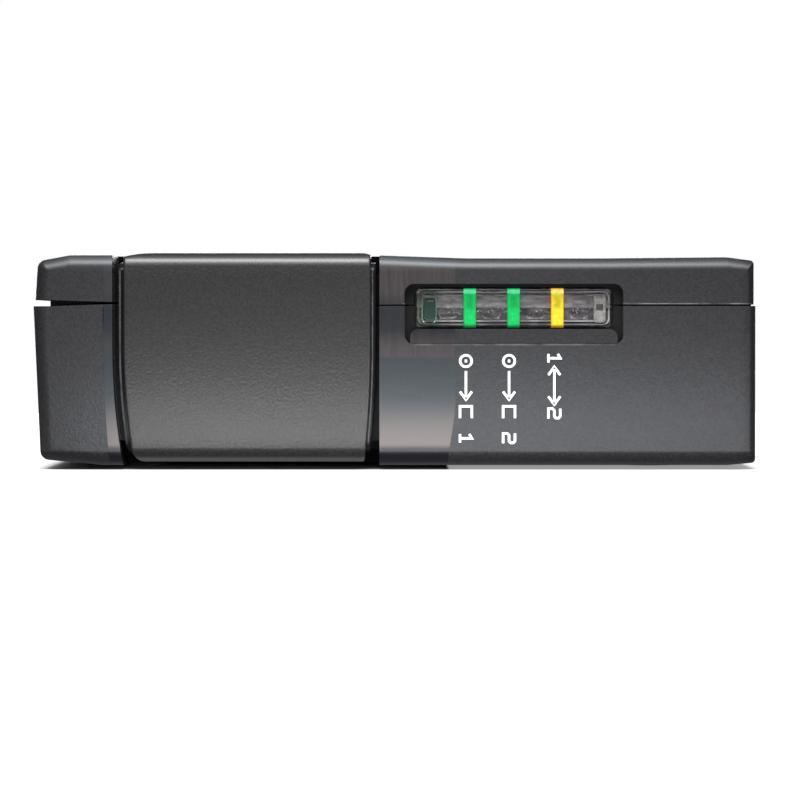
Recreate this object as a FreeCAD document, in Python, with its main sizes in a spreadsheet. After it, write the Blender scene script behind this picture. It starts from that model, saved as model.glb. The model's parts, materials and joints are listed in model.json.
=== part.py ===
import FreeCAD, Part
import math
import operator
import os
import Sketcher

# Audio switch box: a flat two-shell case with a wide C-shaped select bar round its
# waist, an indicator window beside the bar and phono sockets on the rear panel.
# Frame: +X to the right of someone facing the front, +Y into the case, +Z up.
# The origin is under the middle of the bounding box, on the table.

Vector = FreeCAD.Vector

DRIVING = {
    # Case
    "case_width": 103.9,
    "case_height": 30.2,
    "case_depth": 78.0,
    "case_wall": 2.3,
    "foot_drop": 0.6,
    "foot_radius": 4.0,
    "foot_inset_x": 14.25,
    "foot_inset_front": 22.0,
    "foot_inset_rear": 17.0,
    "left_drop": 1.0,
    "left_reach": 5.9,
    "left_base_reach": 9.0,
    "right_drop": 0.45,
    "right_reach": 4.7,
    "top_step": 0.45,
    "top_step_length": 13.0,
    "side_lean": 1.0,
    "upper_lean": 0.4,
    "upper_inset": 0.25,
    "corner_round": 1.3,
    "edge_round": 1.9,
    # Seam between the two shells, which opens out to a slot at the left end
    "seam_drop": 7.2,
    "seam_gap": 0.2,
    "slot_height": 0.88,
    "slot_rise": 0.3,
    "slot_flare": 10.6,
    "lip_wall": 1.0,
    "lip_height": 1.5,
    # Select bar
    "bar_centre": -21.15,
    "bar_width": 35.5,
    "bar_rim": 0.75,
    "bar_gap_left": 0.85,
    "bar_gap_right": 0.5,
    "bar_taper": 1.5,
    "bar_far_taper": 0.95,
    "bar_taper_height": 17.2,
    "bar_proud": 0.3,
    "bar_clearance": 0.5,
    "bar_round": 1.9,
    "carrier_round": 1.5,
    "bar_shoulder": 0.7,
    "bar_shoulder_reach": 4.2,
    "bar_far_shoulder": 0.45,
    "bar_far_shoulder_reach": 1.3,
    "bar_foot": 1.3,
    "bar_foot_reach": 1.6,
    "waist_flare": 0.8,
    "cover_wall": 1.4,
    "carrier_wall": 1.2,
    "bar_reach": 12.0,
    "bar_travel": 0.8,
    "stop_gap": 0.3,
    "leg_gap": 0.4,
    "waist_wall": 1.6,
    # Guides of the bar
    "guide_height": 12.4,
    "guide_spread": 24.0,
    "post_radius": 1.5,
    "running_gap": 0.05,
    "bush_wall": 0.75,
    "bush_proud": 0.6,
    "pocket_radius": 3.0,
    "pocket_depth": 6.0,
    "pocket_floor": 2.0,
    "pocket_wall": 1.2,
    "retainer_radius": 2.2,
    "retainer_height": 1.3,
    "spring_radius": 2.15,
    "spring_wire": 0.45,
    "spring_pitch": 2.1,
    "nose_radius": 2.0,
    "nose_reach": 5.2,
    # Push switch behind the bar
    "plunger_width": 3.0,
    "collar_width": 4.4,
    "collar_height": 0.8,
    "switch_width": 8.0,
    "switch_depth": 5.0,
    "switch_wall": 1.0,
    "part_gap": 0.1,
    # Indicator window
    "window_centre": 17.15,
    "window_width": 31.4,
    "window_height": 8.7,
    "window_drop": 3.65,
    "window_round": 1.4,
    "window_depth": 1.5,
    "ledge_depth": 0.35,
    "ledge_inset": 1.1,
    "ledge_height": 2.2,
    "lens_width": 28.5,
    "lens_height": 5.8,
    "lens_round": 1.4,
    "lens_setback": 0.1,
    "lens_flange": 1.2,
    "lens_flange_margin": 1.1,
    "light_pitch": 6.3,
    "light_width": 1.8,
    "dimple_radius": 1.55,
    "dimple_depth": 0.5,
    "led_depth": 1.1,
    "led_width": 1.5,
    "led_height": 3.0,
    # Boards
    "board_thick": 1.6,
    "front_board_setback": 15.5,
    "front_board_width": 63.5,
    "front_board_height": 21.0,
    "front_board_level": 3.4,
    "front_board_left": -27.5,
    "rib_width": 3.0,
    "rib_depth": 4.6,
    "rib_height": 4.5,
    "main_board_setback": 19.2,
    "standoff_height": 1.2,
    "standoff_width": 5.2,
    "standoff_inset": 4.5,
    "board_screw_radius": 0.9,
    "board_screw_head": 2.0,
    "board_screw_head_height": 1.2,
    "header_width": 22.0,
    "header_depth": 4.0,
    "header_height": 2.5,
    "relay_width": 10.0,
    "relay_depth": 15.0,
    "relay_height": 9.5,
    "chip_width": 10.0,
    "chip_depth": 6.0,
    "chip_height": 1.6,
    "capacitor_radius": 3.15,
    "capacitor_height": 9.0,
    "capacitor_gap": 1.6,
    "regulator_width": 10.0,
    "regulator_depth": 4.4,
    "regulator_height": 9.0,
    "regulator_tab": 1.2,
    "regulator_tab_rise": 6.0,
    "crystal_width": 10.5,
    "crystal_depth": 4.2,
    "crystal_height": 3.5,
    # Case screws
    "boss_inset_x": 6.75,
    "boss_inset_front": 6.5,
    "boss_inset_rear": 9.0,
    "boss_width": 6.8,
    "boss_height": 13.0,
    "screw_post_width": 5.6,
    "screw_radius": 1.25,
    "screw_head_radius": 2.1,
    "screw_head_height": 1.5,
    "screw_web": 2.5,
    "screw_bite": 8.0,
    # Rear panel and sockets
    "rear_lip": 1.6,
    "rear_lip_inset": 1.0,
    "panel_thick": 2.0,
    "jack_inset": 15.95,
    "jack_pitch": 18.0,
    "jack_row_drop": 4.4,
    "jack_row_headroom": 6.15,
    "jack_reach": 8.5,
    "sleeve_radius": 4.15,
    "sleeve_wall": 0.6,
    "insert_setback": 0.6,
    "insert_bore": 2.0,
    "contact_gap": 3.0,
    "contact_thick": 0.3,
    "contact_width": 1.6,
    "block_width": 11.0,
    "block_depth": 12.0,
    "block_headroom": 1.15,
    "power_inset": 17.95,
    "power_width": 9.0,
    "power_height": 11.0,
    "power_depth": 13.0,
    "power_nose_radius": 3.9,
    "power_bore_radius": 3.1,
    "power_bore_depth": 11.0,
    "power_pin_radius": 1.0,
    "power_pin_length": 9.5,
}

LIGHTS = ("a", "b", "auto")
SIGNS = {"+": operator.add, "-": operator.sub, "*": operator.mul, "/": operator.truediv}


class Size:
    """A size as a number, and as the sheet expression that gives the same number."""

    def __init__(self, value, text=None):
        self.value = float(value)
        self.text = text or repr(float(value))

    def joined(self, sign, other, swapped=False):
        other = other if isinstance(other, Size) else Size(other)
        first, second = (other, self) if swapped else (self, other)
        value = SIGNS[sign](first.value, second.value)
        return Size(value, f"({first.text} {sign} {second.text})")

    def __add__(self, other):
        return self.joined("+", other)

    def __radd__(self, other):
        return self.joined("+", other, True)

    def __sub__(self, other):
        return self.joined("-", other)

    def __rsub__(self, other):
        return self.joined("-", other, True)

    def __mul__(self, other):
        return self.joined("*", other)

    def __rmul__(self, other):
        return self.joined("*", other, True)

    def __truediv__(self, other):
        return self.joined("/", other)

    def __neg__(self):
        return self.joined("*", -1)


class Sheet:
    """The driving sizes: one row each in the document's spreadsheet."""

    def __init__(self, document, sizes):
        self.sizes = sizes
        cells = document.addObject("Spreadsheet::Sheet", "dims")
        for row, (name, value) in enumerate(sizes.items(), 1):
            cells.set(f"A{row}", name.replace("_", " "))
            cells.set(f"B{row}", str(value))
            cells.setAlias(f"B{row}", name)
        document.recompute()

    def __getattr__(self, name):
        return Size(self.sizes[name], f"dims.{name}")


doc = FreeCAD.newDocument("audio_switch_box")
d = Sheet(doc, DRIVING)


# Helpers: sizes and places bound to the sheet

def bind(item, path, size):
    """Set a property to a size and tie it to the sheet."""
    size = size if isinstance(size, Size) else Size(size)
    item.setExpression(path, size.text)


def place(item, corner):
    for axis, size in zip("xyz", corner):
        bind(item, f"Placement.Base.{axis}", size)


def box(name, corner, size):
    item = doc.addObject("Part::Box", name)
    for path, length in zip(("Length", "Width", "Height"), size):
        bind(item, path, length)
    place(item, corner)
    return item


def span(name, low, high):
    """A box between two opposite corners."""
    return box(name, low, [b - a for a, b in zip(low, high)])


TURNS = {
    "x": FreeCAD.Rotation(Vector(0, 1, 0), 90),
    "y": FreeCAD.Rotation(Vector(1, 0, 0), -90),
    "z": FreeCAD.Rotation(),
}


def cylinder(name, axis, start, radius, length):
    """A round bar that starts at a point and runs along +X, +Y or +Z."""
    item = doc.addObject("Part::Cylinder", name)
    item.Placement = FreeCAD.Placement(Vector(), TURNS[axis])
    bind(item, "Radius", radius)
    bind(item, "Height", length)
    place(item, start)
    return item


def fuse(name, *items):
    result = doc.addObject("Part::MultiFuse", name)
    result.Shapes = list(items)
    result.Refine = True
    return result


def group(name, *items):
    """Separate solids under one name."""
    result = doc.addObject("Part::Compound", name)
    result.Links = list(items)
    return result


def cut(name, base, *tools):
    result = doc.addObject("Part::Cut", name)
    result.Base = base
    result.Tool = tools[0] if len(tools) == 1 else group(name + "_tools", *tools)
    result.Refine = True
    return result


def common(name, first, second):
    result = doc.addObject("Part::MultiCommon", name)
    result.Shapes = [first, second]
    return result


# Helpers: sketched features

PLANES = {"front": ("XZ_Plane", -1), "side": ("YZ_Plane", 1), "plan": ("XY_Plane", 1)}
AXES = {"front": Vector(0, 1, 0), "side": Vector(1, 0, 0), "plan": Vector(0, 0, 1)}


def new_body(name):
    return doc.addObject("PartDesign::Body", name)


def draw(sketch, outline):
    """Close an outline of corners. A third number bends the line that leaves a corner:
    its radius, positive where the arc turns left."""
    first = sketch.GeometryCount
    ends = []
    following = outline[1:] + outline[:1]
    for number, (corner, after) in enumerate(zip(outline, following), first):
        start = Vector(corner[0].value, corner[1].value, 0)
        end = Vector(after[0].value, after[1].value, 0)
        if len(corner) == 2:
            sketch.addGeometry(Part.LineSegment(start, end), False)
            ends.append((number, 1, 2))
            continue
        radius = corner[2]
        left = radius.value > 0
        chord = end - start
        rise = math.sqrt(max(radius.value**2 - (chord.Length / 2) ** 2, 0))
        normal = Vector(-chord.y, chord.x, 0).normalize() * (rise if left else -rise)
        centre = (start + end) / 2 + normal
        low, high = (start, end) if left else (end, start)
        angles = [math.atan2(p.y - centre.y, p.x - centre.x) for p in (low, high)]
        circle = Part.Circle(centre, Vector(0, 0, 1), abs(radius.value))
        if angles[1] < angles[0]:
            angles[1] += 2 * math.pi
        sketch.addGeometry(Part.ArcOfCircle(circle, *angles), False)
        ends.append((number, 1, 2) if left else (number, 2, 1))
        bound = sketch.addConstraint(Sketcher.Constraint("Radius", number, abs(radius.value)))
        bind(sketch, f"Constraints[{bound}]", radius if left else -radius)
    for (number, _, end), (after, start, _) in zip(ends, ends[1:] + ends[:1]):
        sketch.addConstraint(Sketcher.Constraint("Coincident", number, end, after, start))
    for (number, start, _), corner in zip(ends, outline):
        for kind, size in zip(("DistanceX", "DistanceY"), corner):
            rule = Sketcher.Constraint(kind, -1, 1, number, start, size.value)
            bound = sketch.addConstraint(rule)
            bind(sketch, f"Constraints[{bound}]", size)


def draw_circle(sketch, centre, radius):
    number = sketch.GeometryCount
    at = Vector(centre[0].value, centre[1].value, 0)
    sketch.addGeometry(Part.Circle(at, Vector(0, 0, 1), radius.value), False)
    bound = sketch.addConstraint(Sketcher.Constraint("Radius", number, radius.value))
    bind(sketch, f"Constraints[{bound}]", radius)
    for kind, size in zip(("DistanceX", "DistanceY"), centre):
        bound = sketch.addConstraint(Sketcher.Constraint(kind, -1, 1, number, 3, size.value))
        bind(sketch, f"Constraints[{bound}]", size)


def new_sketch(body, view, level, name):
    """A sketch at a level along the axis that the view looks along."""
    role, sign = PLANES[view]
    sketch = body.newObject("Sketcher::SketchObject", name)
    plane = next(item for item in body.Origin.OriginFeatures if item.Role == role)
    sketch.AttachmentSupport = [(plane, "")]
    sketch.MapMode = "FlatFace"
    bind(sketch, "AttachmentOffset.Base.z", level * sign)
    return sketch


def feature(body, kind, name, sketch, length, backwards):
    item = body.newObject(kind, name)
    item.Profile = sketch
    bind(item, "Length", length)
    item.Reversed = backwards
    return item


def pad(body, view, level, length, outline, name):
    """Material from a level on, along the positive axis."""
    sketch = new_sketch(body, view, level, name + "_sketch")
    draw(sketch, outline)
    return feature(body, "PartDesign::Pad", name, sketch, length, PLANES[view][1] < 0)


def pocket(body, view, level, length, name, outlines=(), circles=()):
    """Outlines and circles cut away from a level on, along the positive axis."""
    sketch = new_sketch(body, view, level, name + "_sketch")
    for outline in outlines:
        draw(sketch, outline)
    for centre, radius in circles:
        draw_circle(sketch, centre, radius)
    before = body.Tip.Shape.Volume if body.Tip.Shape.Solids else 0
    item = feature(body, "PartDesign::Pocket", name, sketch, length, PLANES[view][1] > 0)
    doc.recompute()
    if item.Shape.Volume >= before:
        raise ValueError(name + " removes nothing")
    return item


def edges_along(shape, direction, accept):
    """Names of the edges that run along a direction and pass a test on their middle."""
    names = []
    for number, edge in enumerate(shape.Edges, 1):
        ends = [vertex.Point for vertex in edge.Vertexes]
        if len(ends) == 2 and (ends[1] - ends[0]).cross(direction).Length < 1e-6:
            if accept((ends[0] + ends[1]) / 2):
                names.append(f"Edge{number}")
    return names


def edges_at(shape, direction, level):
    """Names of the edges that lie in the plane at a level along a direction."""
    names = []
    for number, edge in enumerate(shape.Edges, 1):
        if all(abs(vertex.Point.dot(direction) - level) < 1e-6 for vertex in edge.Vertexes):
            names.append(f"Edge{number}")
    return names


def rounded(body, name, radius, find):
    """A fillet on the edges that a finder picks from the body's shape so far."""
    doc.recompute()
    base = body.Tip
    item = body.newObject("PartDesign::Fillet", name)
    item.Base = (base, find(base.Shape))
    bind(item, "Radius", radius)
    doc.recompute()
    return item


def round_rectangle(low, high, radius):
    """A rectangle with round corners, anticlockwise."""
    (left, base), (right, top) = low, high
    return [
        (left + radius, base),
        (right - radius, base, radius),
        (right, base + radius),
        (right, top - radius, radius),
        (right - radius, top),
        (left + radius, top, radius),
        (left, top - radius),
        (left, base + radius, radius),
    ]


def rectangle(low, high):
    return [(low[0], low[1]), (high[0], low[1]), (high[0], high[1]), (low[0], high[1])]


# Levels that the pieces share

SPARE = Size(2)  # how far a cutting shape runs past what it cuts
FIT_GAPS = 3  # gaps between pieces that are put in by hand, where others have one
case_front = d.bar_proud - (d.case_depth + d.jack_reach + d.bar_proud) / 2
case_rear = case_front + d.case_depth
underside = d.foot_drop
case_top = underside + d.case_height
low_top = case_top - d.top_step
side = d.case_width / 2
seam = case_top - d.seam_drop
floor_top = underside + d.case_wall
ceiling = low_top - d.case_wall
inner_side = side - d.case_wall
inner_front = case_front + d.case_wall

rim_left = d.bar_centre - d.bar_width / 2 - d.bar_rim
rim_right = d.bar_centre + d.bar_width / 2 + d.bar_rim
waist_left = rim_left - d.bar_gap_left
waist_right = rim_right + d.bar_gap_right
bar_wall = d.cover_wall + d.carrier_wall
bar_base = underside + d.bar_clearance
carrier_back = case_front - d.bar_proud + bar_wall
waist_front = carrier_back + d.bar_travel + d.stop_gap
waist_rear = case_front - d.bar_proud + d.bar_reach + d.bar_travel + d.stop_gap
waist_top = case_top + d.bar_proud - bar_wall - d.leg_gap
waist_base = bar_base + bar_wall + d.leg_gap
taper_top = underside + d.bar_taper_height

guide_level = underside + d.guide_height
guide_places = (d.bar_centre - d.guide_spread / 2, d.bar_centre + d.guide_spread / 2)
pocket_end = waist_front + d.pocket_depth
boss_end = pocket_end + d.pocket_floor
bush_radius = d.post_radius + d.running_gap + d.bush_wall

panel_rear = case_rear - d.rear_lip
panel_front = panel_rear - d.panel_thick
board_base = floor_top + d.standoff_height
board_top = board_base + d.board_thick
board_front = case_front + d.front_board_setback
main_front = case_front + d.main_board_setback
main_rear = panel_front - FIT_GAPS * d.part_gap
main_half = side - d.boss_inset_x - d.boss_width / 2 - FIT_GAPS * d.part_gap
main_middle = (main_front + panel_front - d.block_depth) / 2
standoff_x = main_half - d.standoff_inset
standoff_front = main_front + d.standoff_inset
standoff_rear = panel_front - d.block_depth - d.standoff_inset
jack_columns = [d.jack_inset - side + number * d.jack_pitch for number in range(3)]
jack_rows = (board_top + d.jack_row_drop, ceiling - d.jack_row_headroom)
power_x = side - d.power_inset
power_level = board_top + d.power_height / 2
plunger_tip = carrier_back + d.nose_reach + d.running_gap
light_places = [d.window_centre + step * d.light_pitch for step in (-1, 0, 1)]
dimple_places = [d.window_centre + step * d.light_pitch / 2 for step in (-3, -1, 1, 3)]
window_base = low_top - d.window_drop - d.window_height
lens_low = window_base + d.ledge_height + d.part_gap
lens_high = lens_low + d.lens_height
lens_front = case_front + d.window_depth + d.lens_setback
lens_back = inner_front + d.lens_flange
lens_middle = (lens_low + lens_high) / 2
insert_radius = d.sleeve_radius - d.sleeve_wall - d.running_gap
insert_end = case_rear + d.jack_reach - d.insert_setback


def four_places(inset_x, inset_front, inset_rear):
    """Four places on the plan, each with a tag, at insets from the sides of the case."""
    rows = {"front": case_front + inset_front, "rear": case_rear - inset_rear}
    columns = {"left": inset_x - side, "right": side - inset_x}
    return {
        f"{row}_{column}": (place_x, place_y)
        for row, place_y in rows.items()
        for column, place_x in columns.items()
    }


screw_places = four_places(d.boss_inset_x, d.boss_inset_front, d.boss_inset_rear)
foot_places = four_places(d.foot_inset_x, d.foot_inset_front, d.foot_inset_rear)
board_fixings = {"left": (-standoff_x, standoff_front), "right": (standoff_x, standoff_front)}
board_rests = {"left": (-standoff_x, standoff_rear), "right": (standoff_x, standoff_rear)}


# Case shells

def case_form(name, half):
    """The closed outside of the case with its ends at a distance from the middle, before
    it is split, cut and hollowed."""
    body = new_body(name)
    outline = [
        (-half + d.left_base_reach + d.side_lean, underside),
        (half - d.right_reach, underside),
        (half, underside + d.right_drop),
        (half, low_top - d.right_drop),
        (half - d.right_reach, low_top),
        (waist_right + d.top_step_length, low_top),
        (waist_right, case_top),
        (-half + d.left_reach, case_top),
        (-half + d.upper_lean, case_top - d.left_drop),
        (-half, seam),
        (-half + d.side_lean, underside + d.left_drop),
    ]
    pad(body, "front", case_front, d.case_depth, outline, name + "_pad")
    depth = AXES["front"]
    edge = half.value - 2 * d.side_lean.value
    rounded(
        body, name + "_corners", d.corner_round,
        lambda shape: edges_along(
            shape, depth, lambda at: abs(at.x) > edge and abs(at.z - seam.value) > 1
        ),
    )
    rounded(
        body, name + "_rims", d.edge_round,
        lambda shape: edges_at(shape, depth, case_front.value)
        + edges_at(shape, depth, case_rear.value),
    )
    return body


def waist_outline(left, right):
    """Front view of the waist opening: sides that open out at the top, of which the left
    one draws in below the taper's start, on an arc that leaves the upright smoothly."""
    drop = d.bar_taper_height
    taper = d.bar_taper
    radius = (taper * taper + drop * drop) / (2 * taper)
    top = case_top + SPARE
    base = underside - SPARE
    foot = taper_top - drop
    flare = d.waist_flare
    return [
        (left - flare, top),
        (left - flare, case_top),
        (left, case_top - flare),
        (left, taper_top, radius),
        (left + taper, foot),
        (left + taper, base),
        (right, base),
        (right, case_top - flare),
        (right + flare, case_top),
        (right + flare, top),
    ]


def waist_cutter():
    """The recess that the bar moves in: across the top, the front and the underside."""
    body = new_body("waist_slab")
    pad(
        body, "front", case_front - SPARE, waist_rear - case_front + SPARE,
        waist_outline(waist_left, waist_right), "waist_slab_pad",
    )
    core = span(
        "waist_core",
        (waist_left - SPARE, waist_front, waist_base),
        (waist_right + SPARE, waist_rear + SPARE, waist_top),
    )
    return cut("waist_cut", body, core)


def window_cutter():
    """The window recess with the ledge that stands in it, and the lens opening."""
    left = d.window_centre - d.window_width / 2
    right = d.window_centre + d.window_width / 2
    base = window_base
    top = base + d.window_height
    frame = new_body("window_frame")
    pad(
        frame, "front", case_front - SPARE, d.window_depth + SPARE,
        round_rectangle((left, base), (right, top), d.window_round), "window_frame_pad",
    )
    ledge = span(
        "window_ledge",
        (left + d.ledge_inset, case_front + d.ledge_depth, base - SPARE),
        (right - d.ledge_inset, case_front + d.window_depth + SPARE, base + d.ledge_height),
    )
    opening = new_body("lens_opening")
    gap = d.part_gap
    pad(
        opening, "front", case_front, d.case_wall + SPARE,
        round_rectangle(
            (d.window_centre - d.lens_width / 2 - gap, lens_low - gap),
            (d.window_centre + d.lens_width / 2 + gap, lens_high + gap),
            d.lens_round + gap,
        ),
        "lens_opening_pad",
    )
    return group("window_cut", cut("window_recess", frame, ledge), opening)


def case_hollow():
    """The room inside the case: less the walls round the waist, open at the rear."""
    room = span(
        "case_room", (-inner_side, inner_front, floor_top), (inner_side, panel_rear, ceiling)
    )
    inset = d.rear_lip_inset
    doorway = span(
        "case_doorway",
        (-inner_side + inset, panel_rear - SPARE, floor_top + inset),
        (inner_side - inset, case_rear + SPARE, ceiling - inset),
    )
    wall = d.waist_wall
    shield = span(
        "waist_shield",
        (waist_left - wall, case_front, underside),
        (waist_right + wall, waist_rear + wall, case_top),
    )
    shield_room = span(
        "waist_shield_room",
        (waist_left - wall - SPARE, waist_front + wall, waist_base + wall),
        (waist_right + wall + SPARE, waist_rear + wall + SPARE, waist_top - wall),
    )
    return cut(
        "case_hollow",
        fuse("case_rooms", room, doorway),
        cut("waist_walls", shield, shield_room),
    )


def seam_side(name, above):
    """Everything above or below the seam, which runs a little higher to the left of the
    waist and opens towards that end."""
    sign = 1 if above else -1
    level = seam + sign * d.seam_gap / 2
    open_level = seam + d.slot_rise + sign * d.slot_height / 2
    far = side + SPARE
    edge = case_top + SPARE if above else -SPARE
    body = new_body(name)
    pad(
        body, "front", case_front - SPARE, d.case_depth + SPARE * 2,
        [
            (-far, edge),
            (-far, open_level),
            (-inner_side, open_level),
            (-inner_side + d.slot_flare, level + d.slot_rise),
            (waist_right, level),
            (far, level),
            (far, edge),
        ],
        name + "_pad",
    )
    return body


def lip_ring():
    """The tongue on the lower shell that locates the upper one from inside. Below the
    seam it is part of the wall, and above it a gap parts it from the upper shell."""
    gap = d.part_gap
    low = seam - d.slot_height - d.lip_height
    high = seam + d.slot_height / 2 + d.lip_height
    rear = main_rear
    root = span("lip_root", (-inner_side, inner_front, low), (inner_side, rear, seam))
    tongue = span(
        "lip_tongue",
        (gap - inner_side, inner_front + gap, seam - SPARE / 2),
        (inner_side - gap, rear, high),
    )
    room = span(
        "lip_room",
        (d.lip_wall - inner_side, inner_front + d.lip_wall, low - SPARE),
        (inner_side - d.lip_wall, rear + SPARE, high + SPARE),
    )
    clearance = FIT_GAPS * gap
    waist_bay = span(
        "lip_waist_bay",
        (waist_left - d.waist_wall - clearance, case_front, low - SPARE),
        (waist_right + d.waist_wall + clearance, waist_rear + SPARE, high + SPARE),
    )
    margin = d.lens_width / 2 + d.lens_flange_margin + clearance
    window_bay = span(
        "lip_window_bay",
        (d.window_centre - margin, case_front, low - SPARE),
        (d.window_centre + margin, inner_front + SPARE, high + SPARE),
    )
    return cut("lip", fuse("lip_blank", root, tongue), room, waist_bay, window_bay)


def pillar(name, at, base, width, height):
    """A square upright that stands round a point of the plan."""
    place_x, place_y = at
    return box(
        name, (place_x - width / 2, place_y - width / 2, base), (width, width, height)
    )


def screw_bosses():
    """Case screw pillars of the lower shell, and the stepped holes through them."""
    bosses = []
    holes = []
    base = underside + d.case_wall / 2
    top = underside + d.boss_height
    head_level = top - d.screw_web
    for tag, at in screw_places.items():
        bosses.append(pillar("boss_" + tag, at, base, d.boss_width, top - base))
        holes.append(
            cylinder(
                "head_hole_" + tag, "z", (*at, underside - SPARE),
                d.screw_head_radius + d.part_gap * 2, head_level - underside + SPARE,
            )
        )
        holes.append(
            cylinder(
                "shank_hole_" + tag, "z", (*at, head_level - SPARE),
                d.screw_radius + d.part_gap * 2, d.screw_web + SPARE * 2,
            )
        )
    return bosses, holes


def screw_posts():
    """Posts of the upper shell that the case screws bite into, and their pilot holes."""
    posts = []
    holes = []
    foot = underside + d.boss_height + d.running_gap
    height = ceiling + d.case_wall / 2 - foot
    for tag, at in screw_places.items():
        posts.append(pillar("post_" + tag, at, foot, d.screw_post_width, height))
        holes.append(
            cylinder(
                "pilot_" + tag, "z", (*at, foot - d.part_gap),
                d.screw_radius + d.running_gap, d.screw_bite + SPARE / 2,
            )
        )
    return posts, holes


def guide_bosses():
    """Square bosses behind the waist wall: spring pockets with a bush hole each."""
    bosses = []
    holes = []
    half = d.pocket_radius + d.pocket_wall
    for number, place_x in enumerate(guide_places):
        bosses.append(
            span(
                f"guide_boss_{number}",
                (place_x - half, waist_front, guide_level - half),
                (place_x + half, boss_end, guide_level + half),
            )
        )
        holes.append(
            cylinder(
                f"spring_pocket_{number}", "y", (place_x, waist_front - SPARE, guide_level),
                d.pocket_radius, d.pocket_depth + SPARE,
            )
        )
        holes.append(
            cylinder(
                f"bush_hole_{number}", "y", (place_x, waist_front, guide_level),
                bush_radius + d.running_gap, boss_end - waist_front + SPARE,
            )
        )
    holes.append(
        cylinder(
            "nose_hole", "y", (d.bar_centre, waist_front - SPARE, guide_level),
            d.nose_radius + d.stop_gap, d.waist_wall + SPARE * 2,
        )
    )
    return bosses, holes


def board_supports():
    """Standoffs and rests for the main board, and slotted ribs for the front board."""
    posts = []
    holes = []
    base = floor_top - d.case_wall / 2
    height = board_base - base
    for tag, at in board_rests.items():
        posts.append(pillar("board_rest_" + tag, at, base, d.standoff_width, height))
    for tag, at in board_fixings.items():
        posts.append(pillar("standoff_" + tag, at, base, d.standoff_width, height))
        holes.append(
            cylinder(
                "standoff_pilot_" + tag, "z", (*at, floor_top - d.case_wall / 4),
                d.board_screw_radius + d.running_gap, d.standoff_height + SPARE,
            )
        )
    left = d.front_board_left + d.rib_width
    right = d.front_board_left + d.front_board_width - d.rib_width * 2
    middle = board_front + d.board_thick / 2
    for tag, place_x in (("left", left), ("right", right)):
        posts.append(
            box(
                "board_rib_" + tag,
                (place_x, middle - d.rib_depth / 2, base),
                (d.rib_width, d.rib_depth, d.rib_height + d.case_wall / 2),
            )
        )
        holes.append(
            box(
                "board_slot_" + tag,
                (place_x - SPARE, board_front - d.running_gap, underside + d.front_board_level),
                (d.rib_width + SPARE * 2, d.board_thick + d.running_gap * 2, d.rib_height),
            )
        )
    return posts, holes


def lower_shell(form, waist, window, hollow):
    shell = cut("lower_tray", common("lower_form", form, seam_side("below_seam", False)), hollow)
    bosses, boss_holes = screw_bosses()
    guides, guide_holes = guide_bosses()
    posts, post_holes = board_supports()
    solid = fuse("lower_fused", shell, lip_ring(), *bosses, *guides, *posts)
    return cut(
        "lower_shell", solid,
        fuse("lower_cuts", waist, window, *boss_holes, *guide_holes, *post_holes),
    )


def upper_shell(form, waist, window, hollow):
    shell = cut("upper_tray", common("upper_form", form, seam_side("above_seam", True)), hollow)
    posts, holes = screw_posts()
    solid = fuse("upper_fused", shell, *posts)
    return cut("upper_shell", solid, fuse("upper_cuts", waist, window, *holes))


def rubber_feet():
    feet = [
        cylinder("foot_" + tag, "z", (*at, Size(0)), d.foot_radius, d.foot_drop)
        for tag, at in foot_places.items()
    ]
    return group("rubber_feet", *feet)


def screw(name, head_start, head_radius, head_height, radius, length):
    """An upright screw whose head starts at a point and whose shank goes up from it."""
    x, y, z = head_start
    sunk = head_height / 4
    head = cylinder(name + "_head", "z", head_start, head_radius, head_height)
    shank = cylinder(
        name + "_shank", "z", (x, y, z + head_height - sunk), radius, length + sunk
    )
    return fuse(name, head, shank)


def shell_screws():
    start = underside + d.boss_height - d.screw_web - d.screw_head_height
    length = d.screw_web + d.screw_bite
    screws = [
        screw(
            "shell_screw_" + tag, (*at, start),
            d.screw_head_radius, d.screw_head_height, d.screw_radius, length,
        )
        for tag, at in screw_places.items()
    ]
    return group("shell_screws", *screws)


# Select bar, its guides and the switch that it presses

def bar_band(name, front, top, base, wall, left, right, corner):
    """A C-shaped band round the waist, drawn in at its lower end."""
    rear = case_front - d.bar_proud + d.bar_reach
    inner = corner - wall
    body = new_body(name)
    outline = [
        (rear, base),
        (rear, base + wall),
        (front + wall + inner, base + wall, -inner),
        (front + wall, base + wall + inner),
        (front + wall, top - wall - inner, -inner),
        (front + wall + inner, top - wall),
        (rear, top - wall),
        (rear, top),
        (front + corner, top, corner),
        (front, top - corner),
        (front, base + corner, corner),
        (front + corner, base),
    ]
    pad(body, "side", left, right - left, outline, name + "_pad")
    doc.recompute()
    drop = taper_top - base
    share = drop * drop / (d.bar_taper_height * d.bar_taper_height)
    near = d.bar_taper * share
    far = d.bar_far_taper * share
    near_bend = (near * near + drop * drop) / (2 * near)
    far_bend = (far * far + drop * drop) / (2 * far)
    depth = rear - front + SPARE * 2
    pocket(
        body, "front", front - SPARE, depth, name + "_left_taper",
        outlines=[[
            (left - SPARE, base - SPARE),
            (left + near, base - SPARE),
            (left + near, base, -near_bend),
            (left, taper_top),
            (left - SPARE, taper_top),
        ]],
    )
    pocket(
        body, "front", front - SPARE, depth, name + "_right_taper",
        outlines=[[
            (right - far, base - SPARE),
            (right + SPARE, base - SPARE),
            (right + SPARE, taper_top),
            (right, taper_top, -far_bend),
            (right - far, base),
        ]],
    )
    return body


def eased_corner(at, fall, reach, across, up):
    """What is cut from a corner of the front view, up to an arc that leaves the level
    side smoothly. Across and up are 1 or -1 and say which way the corner points."""
    place_x, level = at
    arc = (reach * reach + fall * fall) / (2 * fall)
    outer = place_x + across * SPARE
    inner = place_x - across * reach
    start = level - up * fall
    end = level + up * SPARE
    return [
        (outer, start),
        (place_x, start, across * up * arc),
        (inner, level),
        (inner, end),
        (outer, end),
    ]


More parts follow.
